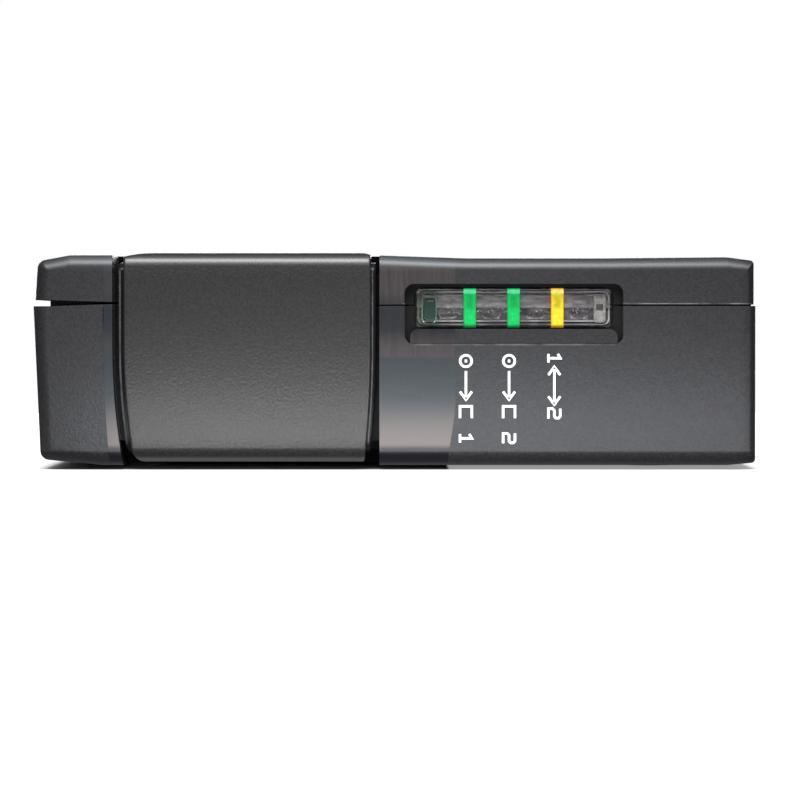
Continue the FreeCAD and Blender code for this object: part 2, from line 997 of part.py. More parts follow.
def select_bar():
    """The grained cover that a finger presses, with its shoulders eased at both ends."""
    left = d.bar_centre - d.bar_width / 2
    right = d.bar_centre + d.bar_width / 2
    front = case_front - d.bar_proud
    top = case_top + d.bar_proud
    body = bar_band(
        "select_bar", front, top, bar_base, d.cover_wall, left, right, d.bar_round
    )
    for corner, at, fall, reach, across, up in (
        ("left_shoulder", (left, top), d.bar_shoulder, d.bar_shoulder_reach, -1, 1),
        ("right_shoulder", (right, top), d.bar_far_shoulder, d.bar_far_shoulder_reach, 1, 1),
        ("left_foot", (left + d.bar_taper, bar_base), d.bar_foot, d.bar_foot_reach, -1, -1),
    ):
        pocket(
            body, "front", front - SPARE, d.bar_reach + SPARE * 2, "select_bar_" + corner,
            outlines=[eased_corner(at, fall, reach, across, up)],
        )
    return body


def bar_carrier():
    """The glossy band under the cover, with guide posts and the nose for the switch."""
    front = case_front - d.bar_proud + d.cover_wall
    top = case_top + d.bar_proud - d.cover_wall
    base = bar_base + d.cover_wall
    band = bar_band(
        "carrier_band", front, top, base, d.carrier_wall, rim_left, rim_right, d.carrier_round
    )
    start = carrier_back - d.carrier_wall / 2
    posts = [
        cylinder(
            f"guide_post_{number}", "y", (place_x, start, guide_level), d.post_radius,
            boss_end + d.part_gap * 2 - start,
        )
        for number, place_x in enumerate(guide_places)
    ]
    nose = cylinder(
        "switch_nose", "y", (d.bar_centre, start, guide_level), d.nose_radius,
        carrier_back + d.nose_reach - start,
    )
    return fuse("bar_carrier", band, *posts, nose)


def bar_retainers():
    """Broad caps on the ends of the guide posts, which keep the bar in the case."""
    start = boss_end + d.part_gap * 2
    items = [
        cylinder(
            f"retainer_{number}", "y", (place_x, start, guide_level),
            d.retainer_radius, d.retainer_height,
        )
        for number, place_x in enumerate(guide_places)
    ]
    return group("bar_retainers", *items)


def guide_bushes():
    """Bushes that the posts run in; the springs stand on their proud ends."""
    items = [
        tube(
            f"bush_{number}", (place_x, pocket_end - d.bush_proud, guide_level),
            bush_radius, d.post_radius + d.running_gap, d.pocket_floor + d.bush_proud,
        )
        for number, place_x in enumerate(guide_places)
    ]
    return group("guide_bushes", *items)


def return_springs():
    """Compression springs round the posts, from the bushes to the carrier."""
    low = carrier_back + d.running_gap
    high = pocket_end - d.bush_proud - d.running_gap
    items = []
    for number, place_x in enumerate(guide_places):
        body = new_body(f"spring_{number}")
        sketch = new_sketch(body, "plan", Size(0), f"spring_sketch_{number}")
        wire = d.spring_wire
        draw(
            sketch,
            rectangle(
                (d.spring_radius - wire / 2, Size(0)), (d.spring_radius + wire / 2, wire)
            ),
        )
        coil = body.newObject("PartDesign::AdditiveHelix", f"spring_coil_{number}")
        coil.Profile = sketch
        coil.ReferenceAxis = (sketch, ["V_Axis"])
        coil.Mode = 0
        bind(coil, "Pitch", d.spring_pitch)
        bind(coil, "Height", high - low - wire)
        place(body, (place_x, low, guide_level))
        items.append(body)
    return group("return_springs", *items)


def switch_body():
    """The housing of the push switch on the front board, open towards the bar."""
    gap = d.running_gap
    half = d.switch_width / 2
    front = board_front - d.switch_depth
    shell = span(
        "switch_block",
        (d.bar_centre - half, front, guide_level - half),
        (d.bar_centre + half, board_front, guide_level + half),
    )
    mouth = d.plunger_width / 2 + gap
    hole = span(
        "switch_mouth",
        (d.bar_centre - mouth, front - SPARE, guide_level - mouth),
        (d.bar_centre + mouth, front + SPARE, guide_level + mouth),
    )
    bay = d.collar_width / 2 + gap
    room = span(
        "switch_room",
        (d.bar_centre - bay, front + d.switch_wall, guide_level - bay),
        (d.bar_centre + bay, board_front - d.switch_wall, guide_level + bay),
    )
    return cut("switch_body", shell, hole, room)


def switch_plunger():
    """The square plunger that the nose pushes, kept in by its collar."""
    half = d.plunger_width / 2
    front = board_front - d.switch_depth
    collar_front = front + d.switch_wall + d.running_gap
    stem = span(
        "plunger_stem",
        (d.bar_centre - half, plunger_tip, guide_level - half),
        (d.bar_centre + half, collar_front + d.collar_height / 2, guide_level + half),
    )
    wide = d.collar_width / 2
    collar = span(
        "plunger_collar",
        (d.bar_centre - wide, collar_front, guide_level - wide),
        (d.bar_centre + wide, collar_front + d.collar_height, guide_level + wide),
    )
    return fuse("switch_plunger", stem, collar)


# Indicators

def indicator_lens():
    """The clear lens: a flange behind the front wall and dimples between the lights."""
    body = new_body("lens_plate")
    left = d.window_centre - d.lens_width / 2
    right = d.window_centre + d.lens_width / 2
    pad(
        body, "front", lens_front, lens_back - lens_front,
        round_rectangle((left, lens_low), (right, lens_high), d.lens_round), "lens_plate_pad",
    )
    margin = d.lens_flange_margin
    flange = span(
        "lens_flange_plate",
        (left - margin, inner_front, lens_low - margin),
        (right + margin, lens_back, lens_high + margin),
    )
    dimples = [
        cylinder(
            f"lens_dimple_{number}", "y", (place_x, lens_back - d.dimple_depth, lens_middle),
            d.dimple_radius, d.dimple_depth + SPARE,
        )
        for number, place_x in enumerate(dimple_places)
    ]
    return cut("indicator_lens", fuse("lens_solid", body, flange), *dimples)


def light_bar(tag, place_x):
    """A clear bar that takes the light from its emitter to the back of the lens."""
    half = d.light_width / 2
    gap = d.part_gap * 2
    return span(
        "light_bar_" + tag,
        (place_x - half, lens_back, lens_low + gap),
        (place_x + half, board_front - d.led_depth, lens_high - gap),
    )


def light_shroud():
    """The dark block between lens and board, with a channel for each light bar."""
    margin = d.lens_flange_margin
    half = d.lens_width / 2 + margin
    block = span(
        "shroud_block",
        (d.window_centre - half, lens_back, lens_low - margin),
        (d.window_centre + half, board_front, lens_high + margin),
    )
    channel_half = d.light_width / 2 + d.part_gap
    channels = [
        span(
            "light_channel_" + tag,
            (place_x - channel_half, lens_back - SPARE, lens_low),
            (place_x + channel_half, board_front + SPARE, lens_high),
        )
        for tag, place_x in zip(LIGHTS, light_places)
    ]
    return cut("light_shroud", block, *channels)


def indicator_leds():
    half = d.led_width / 2
    low = lens_middle - d.led_height / 2
    items = [
        span(
            "led_" + tag,
            (place_x - half, board_front - d.led_depth, low),
            (place_x + half, board_front, low + d.led_height),
        )
        for tag, place_x in zip(LIGHTS, light_places)
    ]
    return group("indicator_leds", *items)


# Boards and what stands on them

def front_board():
    return box(
        "front_board",
        (d.front_board_left, board_front, underside + d.front_board_level),
        (d.front_board_width, d.board_thick, d.front_board_height),
    )


def main_board():
    board = span(
        "main_board_blank",
        (-main_half, main_front, board_base),
        (main_half, main_rear, board_top),
    )
    holes = [
        cylinder(
            "board_hole_" + tag, "z", (*at, board_base - SPARE),
            d.board_screw_radius + d.part_gap, d.board_thick + SPARE * 2,
        )
        for tag, at in board_fixings.items()
    ]
    return cut("main_board", board, *holes)


def board_screws():
    """Pan heads on the board, with shanks down into the standoffs."""
    items = []
    length = d.board_thick + d.standoff_height
    for tag, at in board_fixings.items():
        head = cylinder(
            "board_head_" + tag, "z", (*at, board_top), d.board_screw_head,
            d.board_screw_head_height,
        )
        shank = cylinder(
            "board_shank_" + tag, "z", (*at, board_top - length), d.board_screw_radius,
            length + d.board_screw_head_height / 2,
        )
        items.append(fuse("board_screw_" + tag, head, shank))
    return group("board_screws", *items)


def on_board(name, centre_x, centre_y, size):
    """A block that stands on the main board."""
    width, depth, height = size
    return box(
        name, (centre_x - width / 2, centre_y - depth / 2, board_top), (width, depth, height)
    )


def board_header():
    width = d.header_width
    return box(
        "board_header", (-width / 2, board_front + d.board_thick, board_top),
        (width, main_front - board_front - d.board_thick + d.header_depth, d.header_height),
    )


def signal_relays():
    size = (d.relay_width, d.relay_depth, d.relay_height)
    items = [
        on_board(f"relay_{number}", place_x, main_middle, size)
        for number, place_x in enumerate(jack_columns[:2])
    ]
    return group("signal_relays", *items)


def filter_capacitors():
    """Two upright capacitors side by side in front of the power socket."""
    pitch = d.capacitor_radius * 2 + d.capacitor_gap
    items = [
        cylinder(
            f"capacitor_{number}", "z",
            (power_x - number * pitch, main_middle + d.relay_depth / 4, board_top),
            d.capacitor_radius, d.capacitor_height,
        )
        for number in range(2)
    ]
    return group("filter_capacitors", *items)


def voltage_regulator():
    """A three-legged regulator: its moulded block with the metal tab behind."""
    half = d.regulator_width / 2
    centre_y = main_middle - d.relay_depth / 3
    rear = centre_y + d.regulator_depth / 2
    block = on_board(
        "regulator_block", power_x, centre_y,
        (d.regulator_width, d.regulator_depth, d.regulator_height),
    )
    tab = span(
        "regulator_tab",
        (power_x - half, rear - d.regulator_tab, board_top),
        (power_x + half, rear, board_top + d.regulator_height + d.regulator_tab_rise),
    )
    return fuse("voltage_regulator", block, tab)


# Rear panel and sockets

def rear_panel():
    gap = d.part_gap
    body = new_body("rear_panel")
    pad(
        body, "front", panel_front, d.panel_thick,
        rectangle((-inner_side + gap, floor_top + gap), (inner_side - gap, ceiling - gap)),
        "rear_panel_pad",
    )
    doc.recompute()
    circles = [
        ((column, row), insert_radius + gap) for column in jack_columns for row in jack_rows
    ]
    circles.append(((power_x, power_level), d.power_nose_radius + gap * 2))
    pocket(
        body, "front", panel_front - SPARE, d.panel_thick + SPARE * 2, "panel_holes",
        circles=circles,
    )
    return body


def jack_block(tag, column):
    """One stacked pair of phono sockets: the moulded block behind the panel."""
    half = d.block_width / 2
    return span(
        "jack_block_" + tag,
        (column - half, panel_front - d.block_depth, board_top),
        (column + half, panel_front, ceiling - d.block_headroom),
    )


def tube(name, start, outer, inner, length):
    """A tube along +Y."""
    solid = cylinder(name + "_outer", "y", start, outer, length)
    x, y, z = start
    bore = cylinder(name + "_bore", "y", (x, y - SPARE, z), inner, length + SPARE * 2)
    return cut(name, solid, bore)


def jack_sleeves():
    """The metal sleeves that phono plugs grip, which stand on the panel."""
    length = d.rear_lip + d.jack_reach
    sleeves = [
        tube(
            f"sleeve_{column}{row}", (jack_columns[column], panel_rear, jack_rows[row]),
            d.sleeve_radius, d.sleeve_radius - d.sleeve_wall, length,
        )
        for column in range(3)
        for row in range(2)
    ]
    return group("jack_sleeves", *sleeves)


def jack_inserts(name, row):
    """The insulators of one row, from the blocks through the panel into the sleeves."""
    inserts = [
        tube(
            f"{name}_{column}", (place_x, panel_front, jack_rows[row]),
            insert_radius, d.insert_bore, insert_end - panel_front,
        )
        for column, place_x in enumerate(jack_columns)
    ]
    return group(name, *inserts)


def jack_contacts():
    """Two spring blades in each insert, which grip the pin of a plug."""
    half = d.contact_width / 2
    blades = []
    for column, place_x in enumerate(jack_columns):
        for row, level in enumerate(jack_rows):
            for side_tag, sign in (("low", -1), ("high", 1)):
                inner = level + sign * d.contact_gap / 2
                outer = inner + sign * d.contact_thick
                low, high = (outer, inner) if sign < 0 else (inner, outer)
                blades.append(
                    span(
                        f"contact_{column}{row}_{side_tag}",
                        (place_x - half, panel_front, low),
                        (place_x + half, insert_end - d.insert_setback * 2, high),
                    )
                )
    return group("jack_contacts", *blades)


def power_jack():
    half = d.power_width / 2
    block = span(
        "power_block",
        (power_x - half, panel_front - d.power_depth, board_top),
        (power_x + half, panel_front, board_top + d.power_height),
    )
    nose = cylinder(
        "power_nose", "y", (power_x, panel_front - SPARE, power_level),
        d.power_nose_radius, d.panel_thick + SPARE,
    )
    bore = cylinder(
        "power_bore", "y", (power_x, panel_rear - d.power_bore_depth, power_level),
        d.power_bore_radius, d.power_bore_depth + SPARE,
    )
    return cut("power_jack", fuse("power_solid", block, nose), bore)


def power_pin():
    return cylinder(
        "power_pin", "y", (power_x, panel_rear - d.power_bore_depth, power_level),
        d.power_pin_radius, d.power_pin_length,
    )


def build():
    lower_block = case_form("lower_block", side)
    upper_block = case_form("upper_block", side - d.upper_inset)
    waist = waist_cutter()
    window = window_cutter()
    hollow = case_hollow()
    chip = on_board(
        "control_chip", jack_columns[-1], main_middle,
        (d.chip_width, d.chip_depth, d.chip_height),
    )
    crystal = on_board(
        "clock_crystal", jack_columns[-1], main_middle - d.chip_depth / 2 - d.crystal_depth,
        (d.crystal_width, d.crystal_depth, d.crystal_height),
    )
    lights = [light_bar(tag, place_x) for tag, place_x in zip(LIGHTS, light_places)]
    blocks = [jack_block(tag, column) for tag, column in zip(("a", "b", "out"), jack_columns)]
    return [
        lower_shell(lower_block, waist, window, hollow),
        upper_shell(upper_block, waist, window, hollow),
        rubber_feet(),
        shell_screws(),
        select_bar(),
        bar_carrier(),
        bar_retainers(),
        guide_bushes(),
        return_springs(),
        switch_body(),
        switch_plunger(),
        indicator_lens(),
        *lights,
        light_shroud(),
        indicator_leds(),
        front_board(),
        main_board(),
        board_screws(),
        board_header(),
        signal_relays(),
        chip,
        crystal,
        filter_capacitors(),
        voltage_regulator(),
        rear_panel(),
        *blocks,
        jack_sleeves(),
        jack_inserts("jack_inserts_left", 1),
        jack_inserts("jack_inserts_right", 0),
        jack_contacts(),
        power_jack(),
        power_pin(),
    ]


pieces = build()
doc.recompute()
for item in doc.Objects:
    if {"Invalid", "Error"} & set(item.State):
        raise ValueError(f"{item.Name} did not build")
os.makedirs("parts", exist_ok=True)
for piece in pieces:
    piece.Label = piece.Name
    if piece.Shape.isNull() or not piece.Shape.isValid() or not piece.Shape.Solids:
        raise ValueError(f"{piece.Name} has no sound shape")
    piece.Shape.exportStep(f"parts/{piece.Name}.step")
print(len(pieces), "pieces")
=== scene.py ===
import json
import math

import bmesh
import bpy
from bpy.props import FloatProperty, FloatVectorProperty, PointerProperty
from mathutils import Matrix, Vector


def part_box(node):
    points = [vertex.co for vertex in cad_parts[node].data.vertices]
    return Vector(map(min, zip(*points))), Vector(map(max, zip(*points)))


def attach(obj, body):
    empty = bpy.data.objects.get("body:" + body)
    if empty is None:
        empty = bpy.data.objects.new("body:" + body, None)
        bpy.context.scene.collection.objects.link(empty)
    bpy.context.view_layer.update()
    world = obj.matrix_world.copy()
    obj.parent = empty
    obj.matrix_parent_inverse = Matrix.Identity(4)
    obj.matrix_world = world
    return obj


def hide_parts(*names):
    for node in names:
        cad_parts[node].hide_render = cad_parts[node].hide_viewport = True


bl_info = {
    "name": "Audio Switch Box",
    "version": (1, 0, 0),
    "blender": (4, 5, 0),
    "location": "View3D > Sidebar > Switch Box",
    "description": "Builds the shown shapes and finishes of an audio switch box on its frame",
    "category": "Object",
}

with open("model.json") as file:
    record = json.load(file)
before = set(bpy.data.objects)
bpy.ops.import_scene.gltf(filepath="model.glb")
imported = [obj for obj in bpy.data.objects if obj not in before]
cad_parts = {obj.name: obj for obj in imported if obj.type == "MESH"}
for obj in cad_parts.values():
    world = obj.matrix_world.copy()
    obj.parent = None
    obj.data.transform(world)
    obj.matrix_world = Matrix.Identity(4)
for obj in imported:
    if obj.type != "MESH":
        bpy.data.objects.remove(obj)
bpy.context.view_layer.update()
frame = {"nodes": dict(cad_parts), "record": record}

MM = 0.001
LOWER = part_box("lower_shell")
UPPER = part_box("upper_shell")
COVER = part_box("select_bar")
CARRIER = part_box("bar_carrier")
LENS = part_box("indicator_lens")
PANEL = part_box("rear_panel")
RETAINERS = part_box("bar_retainers")
NOSE_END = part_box("switch_plunger")[0].y
LIGHTS = {"a": "light_bar_a", "b": "light_bar_b", "auto": "light_bar_auto"}

FRONT, BASE = LOWER[0].y, LOWER[0].z  # the front face and the base of the case
SIDE, TOP = LOWER[1].x, UPPER[1].z  # its right end and its top
LENS_MIDDLE = (LENS[0].x + LENS[1].x) / 2

ARC = 6  # segments of a rounded corner
SPARE = 2 * MM  # how far a cutting shape runs past what it cuts
LEAST_ROUND = 0.03 * MM  # radius of a corner that is drawn as sharp
HEAD_HOLE, SHANK_HOLE = 2.3 * MM, 1.45 * MM  # radii of the holes for the case screws
HEAD_HEIGHT = 1.5 * MM  # height of their heads
BOSS_HALF, BOSS_RISE = 3.4 * MM, 2.5 * MM  # half width of a boss, and its rise over the head
CLEAR = 0.3 * MM  # room between the tongue and what stands in its way


def length(name, value, description):
    """A length in millimetres as a property in metres."""
    return FloatProperty(
        name=name, description=description, default=value * MM, unit="LENGTH", precision=5
    )


def colour(name, value, description):
    return FloatVectorProperty(
        name=name, description=description, default=value, subtype="COLOR", size=3,
        min=0, max=1,
    )


def share(name, value, description):
    return FloatProperty(name=name, description=description, default=value, subtype="FACTOR")


def power(name, value, description):
    return FloatProperty(name=name, description=description, default=value, unit="POWER")


class CaseSizes(bpy.types.PropertyGroup):
    """Sizes of the two case shells"""

    wall: length("Wall", 2.3, "Thickness of the case walls")
    front_round: length("Front rounding", 1.9, "Radius round the edge of the front face")
    rear_round: length("Rear rounding", 1.2, "Radius round the rear edge")
    corner_round: length("Corner rounding", 1.3, "Radius of the left long corners")
    right_round: length("Right rounding", 0.6, "Radius of the right long corners")
    right_pull: share("Right pull", 0.4, "How much sharper the right edge of the front is")
    top_pull: share("Top pull", 0.12, "How much sharper its top edge is")
    bend_round: length("Bend rounding", 4.0, "Radius where the ends of top and base bend down")
    left_drop: length("Left drop", 0.85, "How far top and base draw in at the left end")
    left_reach: length("Left reach", 5.0, "Where the top starts to draw in on the left")
    left_base_reach: length("Left base reach", 9.0, "Where the base starts on the left")
    right_drop: length("Right drop", 0.35, "How far they draw in at the right end")
    right_reach: length("Right reach", 3.9, "Where they start to draw in on the right")
    rise_reach: length("Rise reach", 22.0, "Where the top starts to rise on the right")
    right_rise: length("Right rise", 0.17, "How much the top rises towards that place")
    top_step: length("Top step", 0.45, "How much lower the top is right of the bar")
    top_step_length: length("Top step length", 13.0, "Length of the slope down to that level")
    side_lean: length("Side lean", 1.0, "How far the left side draws in towards the base")
    upper_lean: length("Upper lean", 0.4, "How far it draws in towards the top")
    seam_level: length("Seam level", 23.6, "Height of the seam between the shells")
    seam_gap: length("Seam gap", 0.2, "Gap between the shells")
    slot_height: length("Slot height", 0.88, "Height of the open slot at the left end")
    slot_rise: length("Slot rise", 0.3, "How much higher the seam lies left of the bar")
    slot_flare: length("Slot flare", 10.6, "Length over which the slot closes to the seam")
    tongue_wall: length("Tongue wall", 1.0, "Thickness of the locating tongue")
    tongue_height: length("Tongue height", 1.5, "Height of the tongue over the seam")
    edge_break: length("Edge break", 0.1, "Bevel along the cut edges")


class BarSizes(bpy.types.PropertyGroup):
    """Sizes of the select bar and the waist that it moves in"""

    gap_left: length("Left gap", 0.85, "Gap between the rim and the case on the left")
    gap_right: length("Right gap", 0.5, "Gap between the rim and the case on the right")
    taper: length("Taper", 1.5, "How far the left side draws in towards the base")
    far_taper: length("Right taper", 0.95, "How far the right side draws in")
    taper_height: length("Taper height", 17.2, "Height over which the sides draw in")
    cover_wall: length("Cover wall", 1.4, "Thickness of the cover")
    carrier_wall: length("Carrier wall", 1.2, "Thickness of the carrier band")
    front_round: length("Front rounding", 1.9, "Radius between face, top and base")
    edge_round: length("Edge rounding", 0.3, "Radius along the sides of the cover")
    rim_round: length("Rim rounding", 0.32, "Radius along the sides of the glossy rim")
    left_fall: length("Left fall", 0.55, "How far the top falls at its left end")
    left_reach: length("Left reach", 4.2, "Length of that fall")
    right_fall: length("Right fall", 0.3, "How far the top falls at its right end")
    right_reach: length("Right reach", 1.3, "Length of that fall")
    foot_rise: length("Foot rise", 1.3, "How far the base rises at its left end")
    foot_reach: length("Foot reach", 1.6, "Length of that rise")
    flare: length("Waist flare", 0.15, "Chamfer where the waist meets the top")
    stop_gap: length("Stop gap", 0.3, "What is left behind the bar when it is pressed")
    travel: length("Travel", 0.8, "How far the bar is pressed")
    leg_gap: length("Leg gap", 0.4, "Gap between the bar's legs and the waist")
    waist_wall: length("Waist wall", 1.6, "Thickness of the walls round the waist")
    post_radius: length("Post radius", 1.5, "Radius of the guide posts")
    post_spread: length("Post spread", 24.0, "Distance between the guide posts")
    nose_radius: length("Nose radius", 2.0, "Radius of the nose that presses the switch")


class WindowSizes(bpy.types.PropertyGroup):
    """Sizes of the indicator window"""

    width: length("Width", 31.4, "Width of the recess")
    height: length("Height", 8.7, "Height of the recess")
    rounding: length("Rounding", 1.4, "Corner radius of the recess and of the lens")
    depth: length("Depth", 1.5, "Depth of the recess")
    ledge: length("Ledge", 2.2, "Height of the ledge under the lens")
    ledge_depth: length("Ledge depth", 0.35, "How far the ledge lies behind the face")
    ledge_inset: length("Ledge inset", 0.8, "Distance of the ledge's ends from the sides")
    ledge_round: length("Ledge rounding", 1.2, "Corner radius of the ledge")
    flange: length("Flange", 1.1, "Width of the lens flange behind the wall")
    fit: length("Fit", 0.1, "Gap round the lens")
    lens_round: length("Lens edge", 0.45, "Radius along the front edge of the lens")
    dome_radius: length("Dome radius", 1.55, "Radius of the domes between the lights")
    light_width: length("Light width", 1.8, "Width of a lit bar")


class Finishes(bpy.types.PropertyGroup):
    """Colours and grain of the finishes"""

    case: colour("Case", (0.016, 0.0155, 0.0175), "Black plastic of the shells")
    cover: colour("Bar cover", (0.017, 0.0165, 0.017), "Black plastic of the bar's cover")
    rim: colour("Rim", (0.008, 0.008, 0.009), "Polished black of the bar's rim")
    grain: length("Grain", 0.38, "Size of the moulded grain")
    grain_depth: length("Grain depth", 0.05, "Depth of the moulded grain")
    case_roughness: share("Case roughness", 0.46, "Roughness of the grained faces")
    polished_roughness: share("Polished roughness", 0.4, "Roughness beside the bar")
    ink: colour("Ink", (0.86, 0.88, 0.9), "White ink of the marks")
    green: colour("Green light", (0.001, 0.64, 0.13), "Colour of the first two lights")
    amber: colour("Amber light", (1.0, 0.84, 0.03), "Colour of the third light")


class StageSizes(bpy.types.PropertyGroup):
    """The camera, the lamps and the floor"""

    distance: length("Camera distance", 600, "From the camera to the case front")
    eye_x: length("Eye across", 0.8, "The camera's place across the box")
    eye_z: length("Eye height", 21.0, "The camera's height over the floor")
    aim_z: length("Aim height", 10.0, "The height at the case front that the camera aims at")
    view_width: length("View width", 114.8, "Width that the picture covers at the front")
    over_power: power("Over power", 0.22, "Power of the lamp over the box")
    rear_power: power("Rear power", 1.2, "Power of the lamp behind the box")
    key_power: power("Key power", 5.4, "Power of the lamp above the front")
    low_power: power("Low power", 0.027, "Power of the low strip in front")


class SwitchBox(bpy.types.PropertyGroup):
    """Everything that a user of the add-on can set"""

    case: PointerProperty(type=CaseSizes)
    bar: PointerProperty(type=BarSizes)
    window: PointerProperty(type=WindowSizes)
    finish: PointerProperty(type=Finishes)
    stage: PointerProperty(type=StageSizes)


# Outlines and solids

def rounded_outline(corners, inset=0.0, divisions=1):
    """Points round a closed anticlockwise outline of corners (u, v, radius), moved in by
    an inset. Each corner becomes an arc and each side is divided evenly."""
    sides = []
    for (u0, v0, _), (u1, v1, _) in zip(corners, corners[1:] + corners[:1]):
        along = Vector((u1 - u0, v1 - v0)).normalized()
        inward = Vector((-along.y, along.x))
        sides.append((Vector((u0, v0)) + inward * inset, along))
    arcs = []
    for number, (_, _, radius) in enumerate(corners):
        (start, before), (end, after) = sides[number - 1], sides[number]
        cross = before.x * after.y - before.y * after.x
        between = end - start
        meet = start + before * ((between.x * after.y - between.y * after.x) / cross)
        turn = math.atan2(cross, before.dot(after))
        left = 1 if turn > 0 else -1
        radius = max(radius - left * inset, LEAST_ROUND)
        first = meet - before * radius * math.tan(abs(turn) / 2)
        centre = first + Vector((-before.y, before.x)) * radius * left
        arm = first - centre
        arcs.append([
            centre + Vector((
                arm.x * math.cos(angle) - arm.y * math.sin(angle),
                arm.x * math.sin(angle) + arm.y * math.cos(angle),
            ))
            for angle in (turn * step / ARC for step in range(ARC + 1))
        ])
    points = []
    for arc, following in zip(arcs, arcs[1:] + arcs[:1]):
        points += arc
        for step in range(1, divisions):
            points.append(arc[-1].lerp(following[0], step / divisions))
    return points


def rectangle(low, high, radius=0.0):
    (left, base), (right, top) = low, high
    return [
        (left, base, radius), (right, base, radius), (right, top, radius), (left, top, radius)
    ]


def as_piece(name, shape):
    """A new object of a drawn shape, which is used up."""
    mesh = bpy.data.meshes.new(name)
    shape.to_mesh(mesh)
    shape.free()
    piece = bpy.data.objects.new(name, mesh)
    bpy.context.scene.collection.objects.link(piece)
    return piece


def bridge(shape, row, following):
    """Draw the faces between two closed rows of as many points."""
    for number in range(len(row)):
        after = (number + 1) % len(row)
        shape.faces.new((row[number], row[after], following[after], following[number]))


def loft(name, rings):
    """A closed smooth solid through rings of as many points, capped at both ends."""
    shape = bmesh.new()
    rows = [[shape.verts.new(point) for point in ring] for ring in rings]
    for row, following in zip(rows, rows[1:]):
        bridge(shape, row, following)
    shape.faces.new(reversed(rows[0]))
    shape.faces.new(rows[-1])
    bmesh.ops.recalc_face_normals(shape, faces=shape.faces)
    for face in shape.faces:
        face.smooth = True
    return as_piece(name, shape)


def slab(name, outline, front, rear):
    """A solid of a front outline (x, z) from front to rear, without rounding."""
    return loft(name, [[(x, y, z) for x, z in outline] for y in (front, rear)])


def round_steps(radius, steps=ARC):
    """Insets and depths of a quarter round, from its start on the end face."""
    for step in range(steps + 1):
        angle = math.pi / 2 * step / steps
        yield radius * (1 - math.sin(angle)), radius * (1 - math.cos(angle))


def front_solid(name, corners, front, rear, front_round=0.0, rear_round=0.0, shift=None):
    """An outline of the front view (x, z) run from front to rear, with rounded rims. A
    shift may move points where the outline is drawn in by an inset."""
    shift = shift or (lambda across, level, inset: (across, level))
    rings = []
    near = list(round_steps(front_round)) if front_round else [(0, 0)]
    far = list(round_steps(rear_round)) if rear_round else [(0, 0)]
    places = [(inset, front + depth) for inset, depth in near]
    places += [(inset, rear - depth) for inset, depth in reversed(far)]
    for inset, place in places:
        points = (shift(p.x, p.y, inset) for p in rounded_outline(corners, inset))
        rings.append([(across, place, level) for across, level in points])
    return loft(name, rings)


def block(name, low, high):
    """A plain box, for cutting and joining."""
    corners = rectangle((low[0], low[2]), (high[0], high[2]), LEAST_ROUND)
    return front_solid(name, corners, low[1], high[1])


def rod(name, start, axis, radius, reach, sides=48, edge=0.0):
    """A round bar from a point along an axis, with a small chamfer at both ends."""
    across = [index for index in range(3) if index != axis]
    rings = []
    for depth, inset in ((0, edge), (edge, 0), (reach - edge, 0), (reach, edge)):
        ring = []
        for number in range(sides):
            angle = 2 * math.pi * number / sides
            point = list(start)
            point[axis] += depth
            point[across[0]] += (radius - inset) * math.cos(angle)
            point[across[1]] += (radius - inset) * math.sin(angle)
            ring.append(point)
        rings.append(ring)
    if not edge:
        rings = [rings[0], rings[-1]]
    return loft(name, rings)


def settle(piece):
    """Apply a piece's modifiers to its mesh."""
    graph = bpy.context.evaluated_depsgraph_get()
    mesh = bpy.data.meshes.new_from_object(piece.evaluated_get(graph))
    piece.modifiers.clear()
    piece.data = mesh


def combine(piece, others, operation):
    """Cut, join or intersect a piece with others, which are used up."""
    for other in others:
        modifier = piece.modifiers.new("combine", "BOOLEAN")
        modifier.operation = operation
        modifier.solver = "EXACT"
        modifier.object = other
    settle(piece)
    for other in others:
        bpy.data.objects.remove(other)
    return piece


def cut(piece, *others):
    return combine(piece, others, "DIFFERENCE")


def join(piece, *others):
    return combine(piece, others, "UNION")


def overlap(piece, *others):
    return combine(piece, others, "INTERSECT")


def soften(piece, width, sharp=math.radians(20)):
    """Bevel the sharp edges and shade the rest smooth."""
    bevel = piece.modifiers.new("edges", "BEVEL")
    bevel.width = width
    bevel.segments = 2
    bevel.limit_method = "ANGLE"
    bevel.angle_limit = sharp
    bevel.use_clamp_overlap = True
    bevel.harden_normals = True
    weights = piece.modifiers.new("normals", "WEIGHTED_NORMAL")
    weights.keep_sharp = True
    settle(piece)


def dress(piece, material, body, slot, *nodes):
    """Give a piece its material and body, and hide the nodes that it stands for. The slot is not used.
    """
    piece.data.materials.clear()
    piece.data.materials.append(material)
    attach(piece, body)
    if nodes:
        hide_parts(*nodes)


# Node trees of the finishes

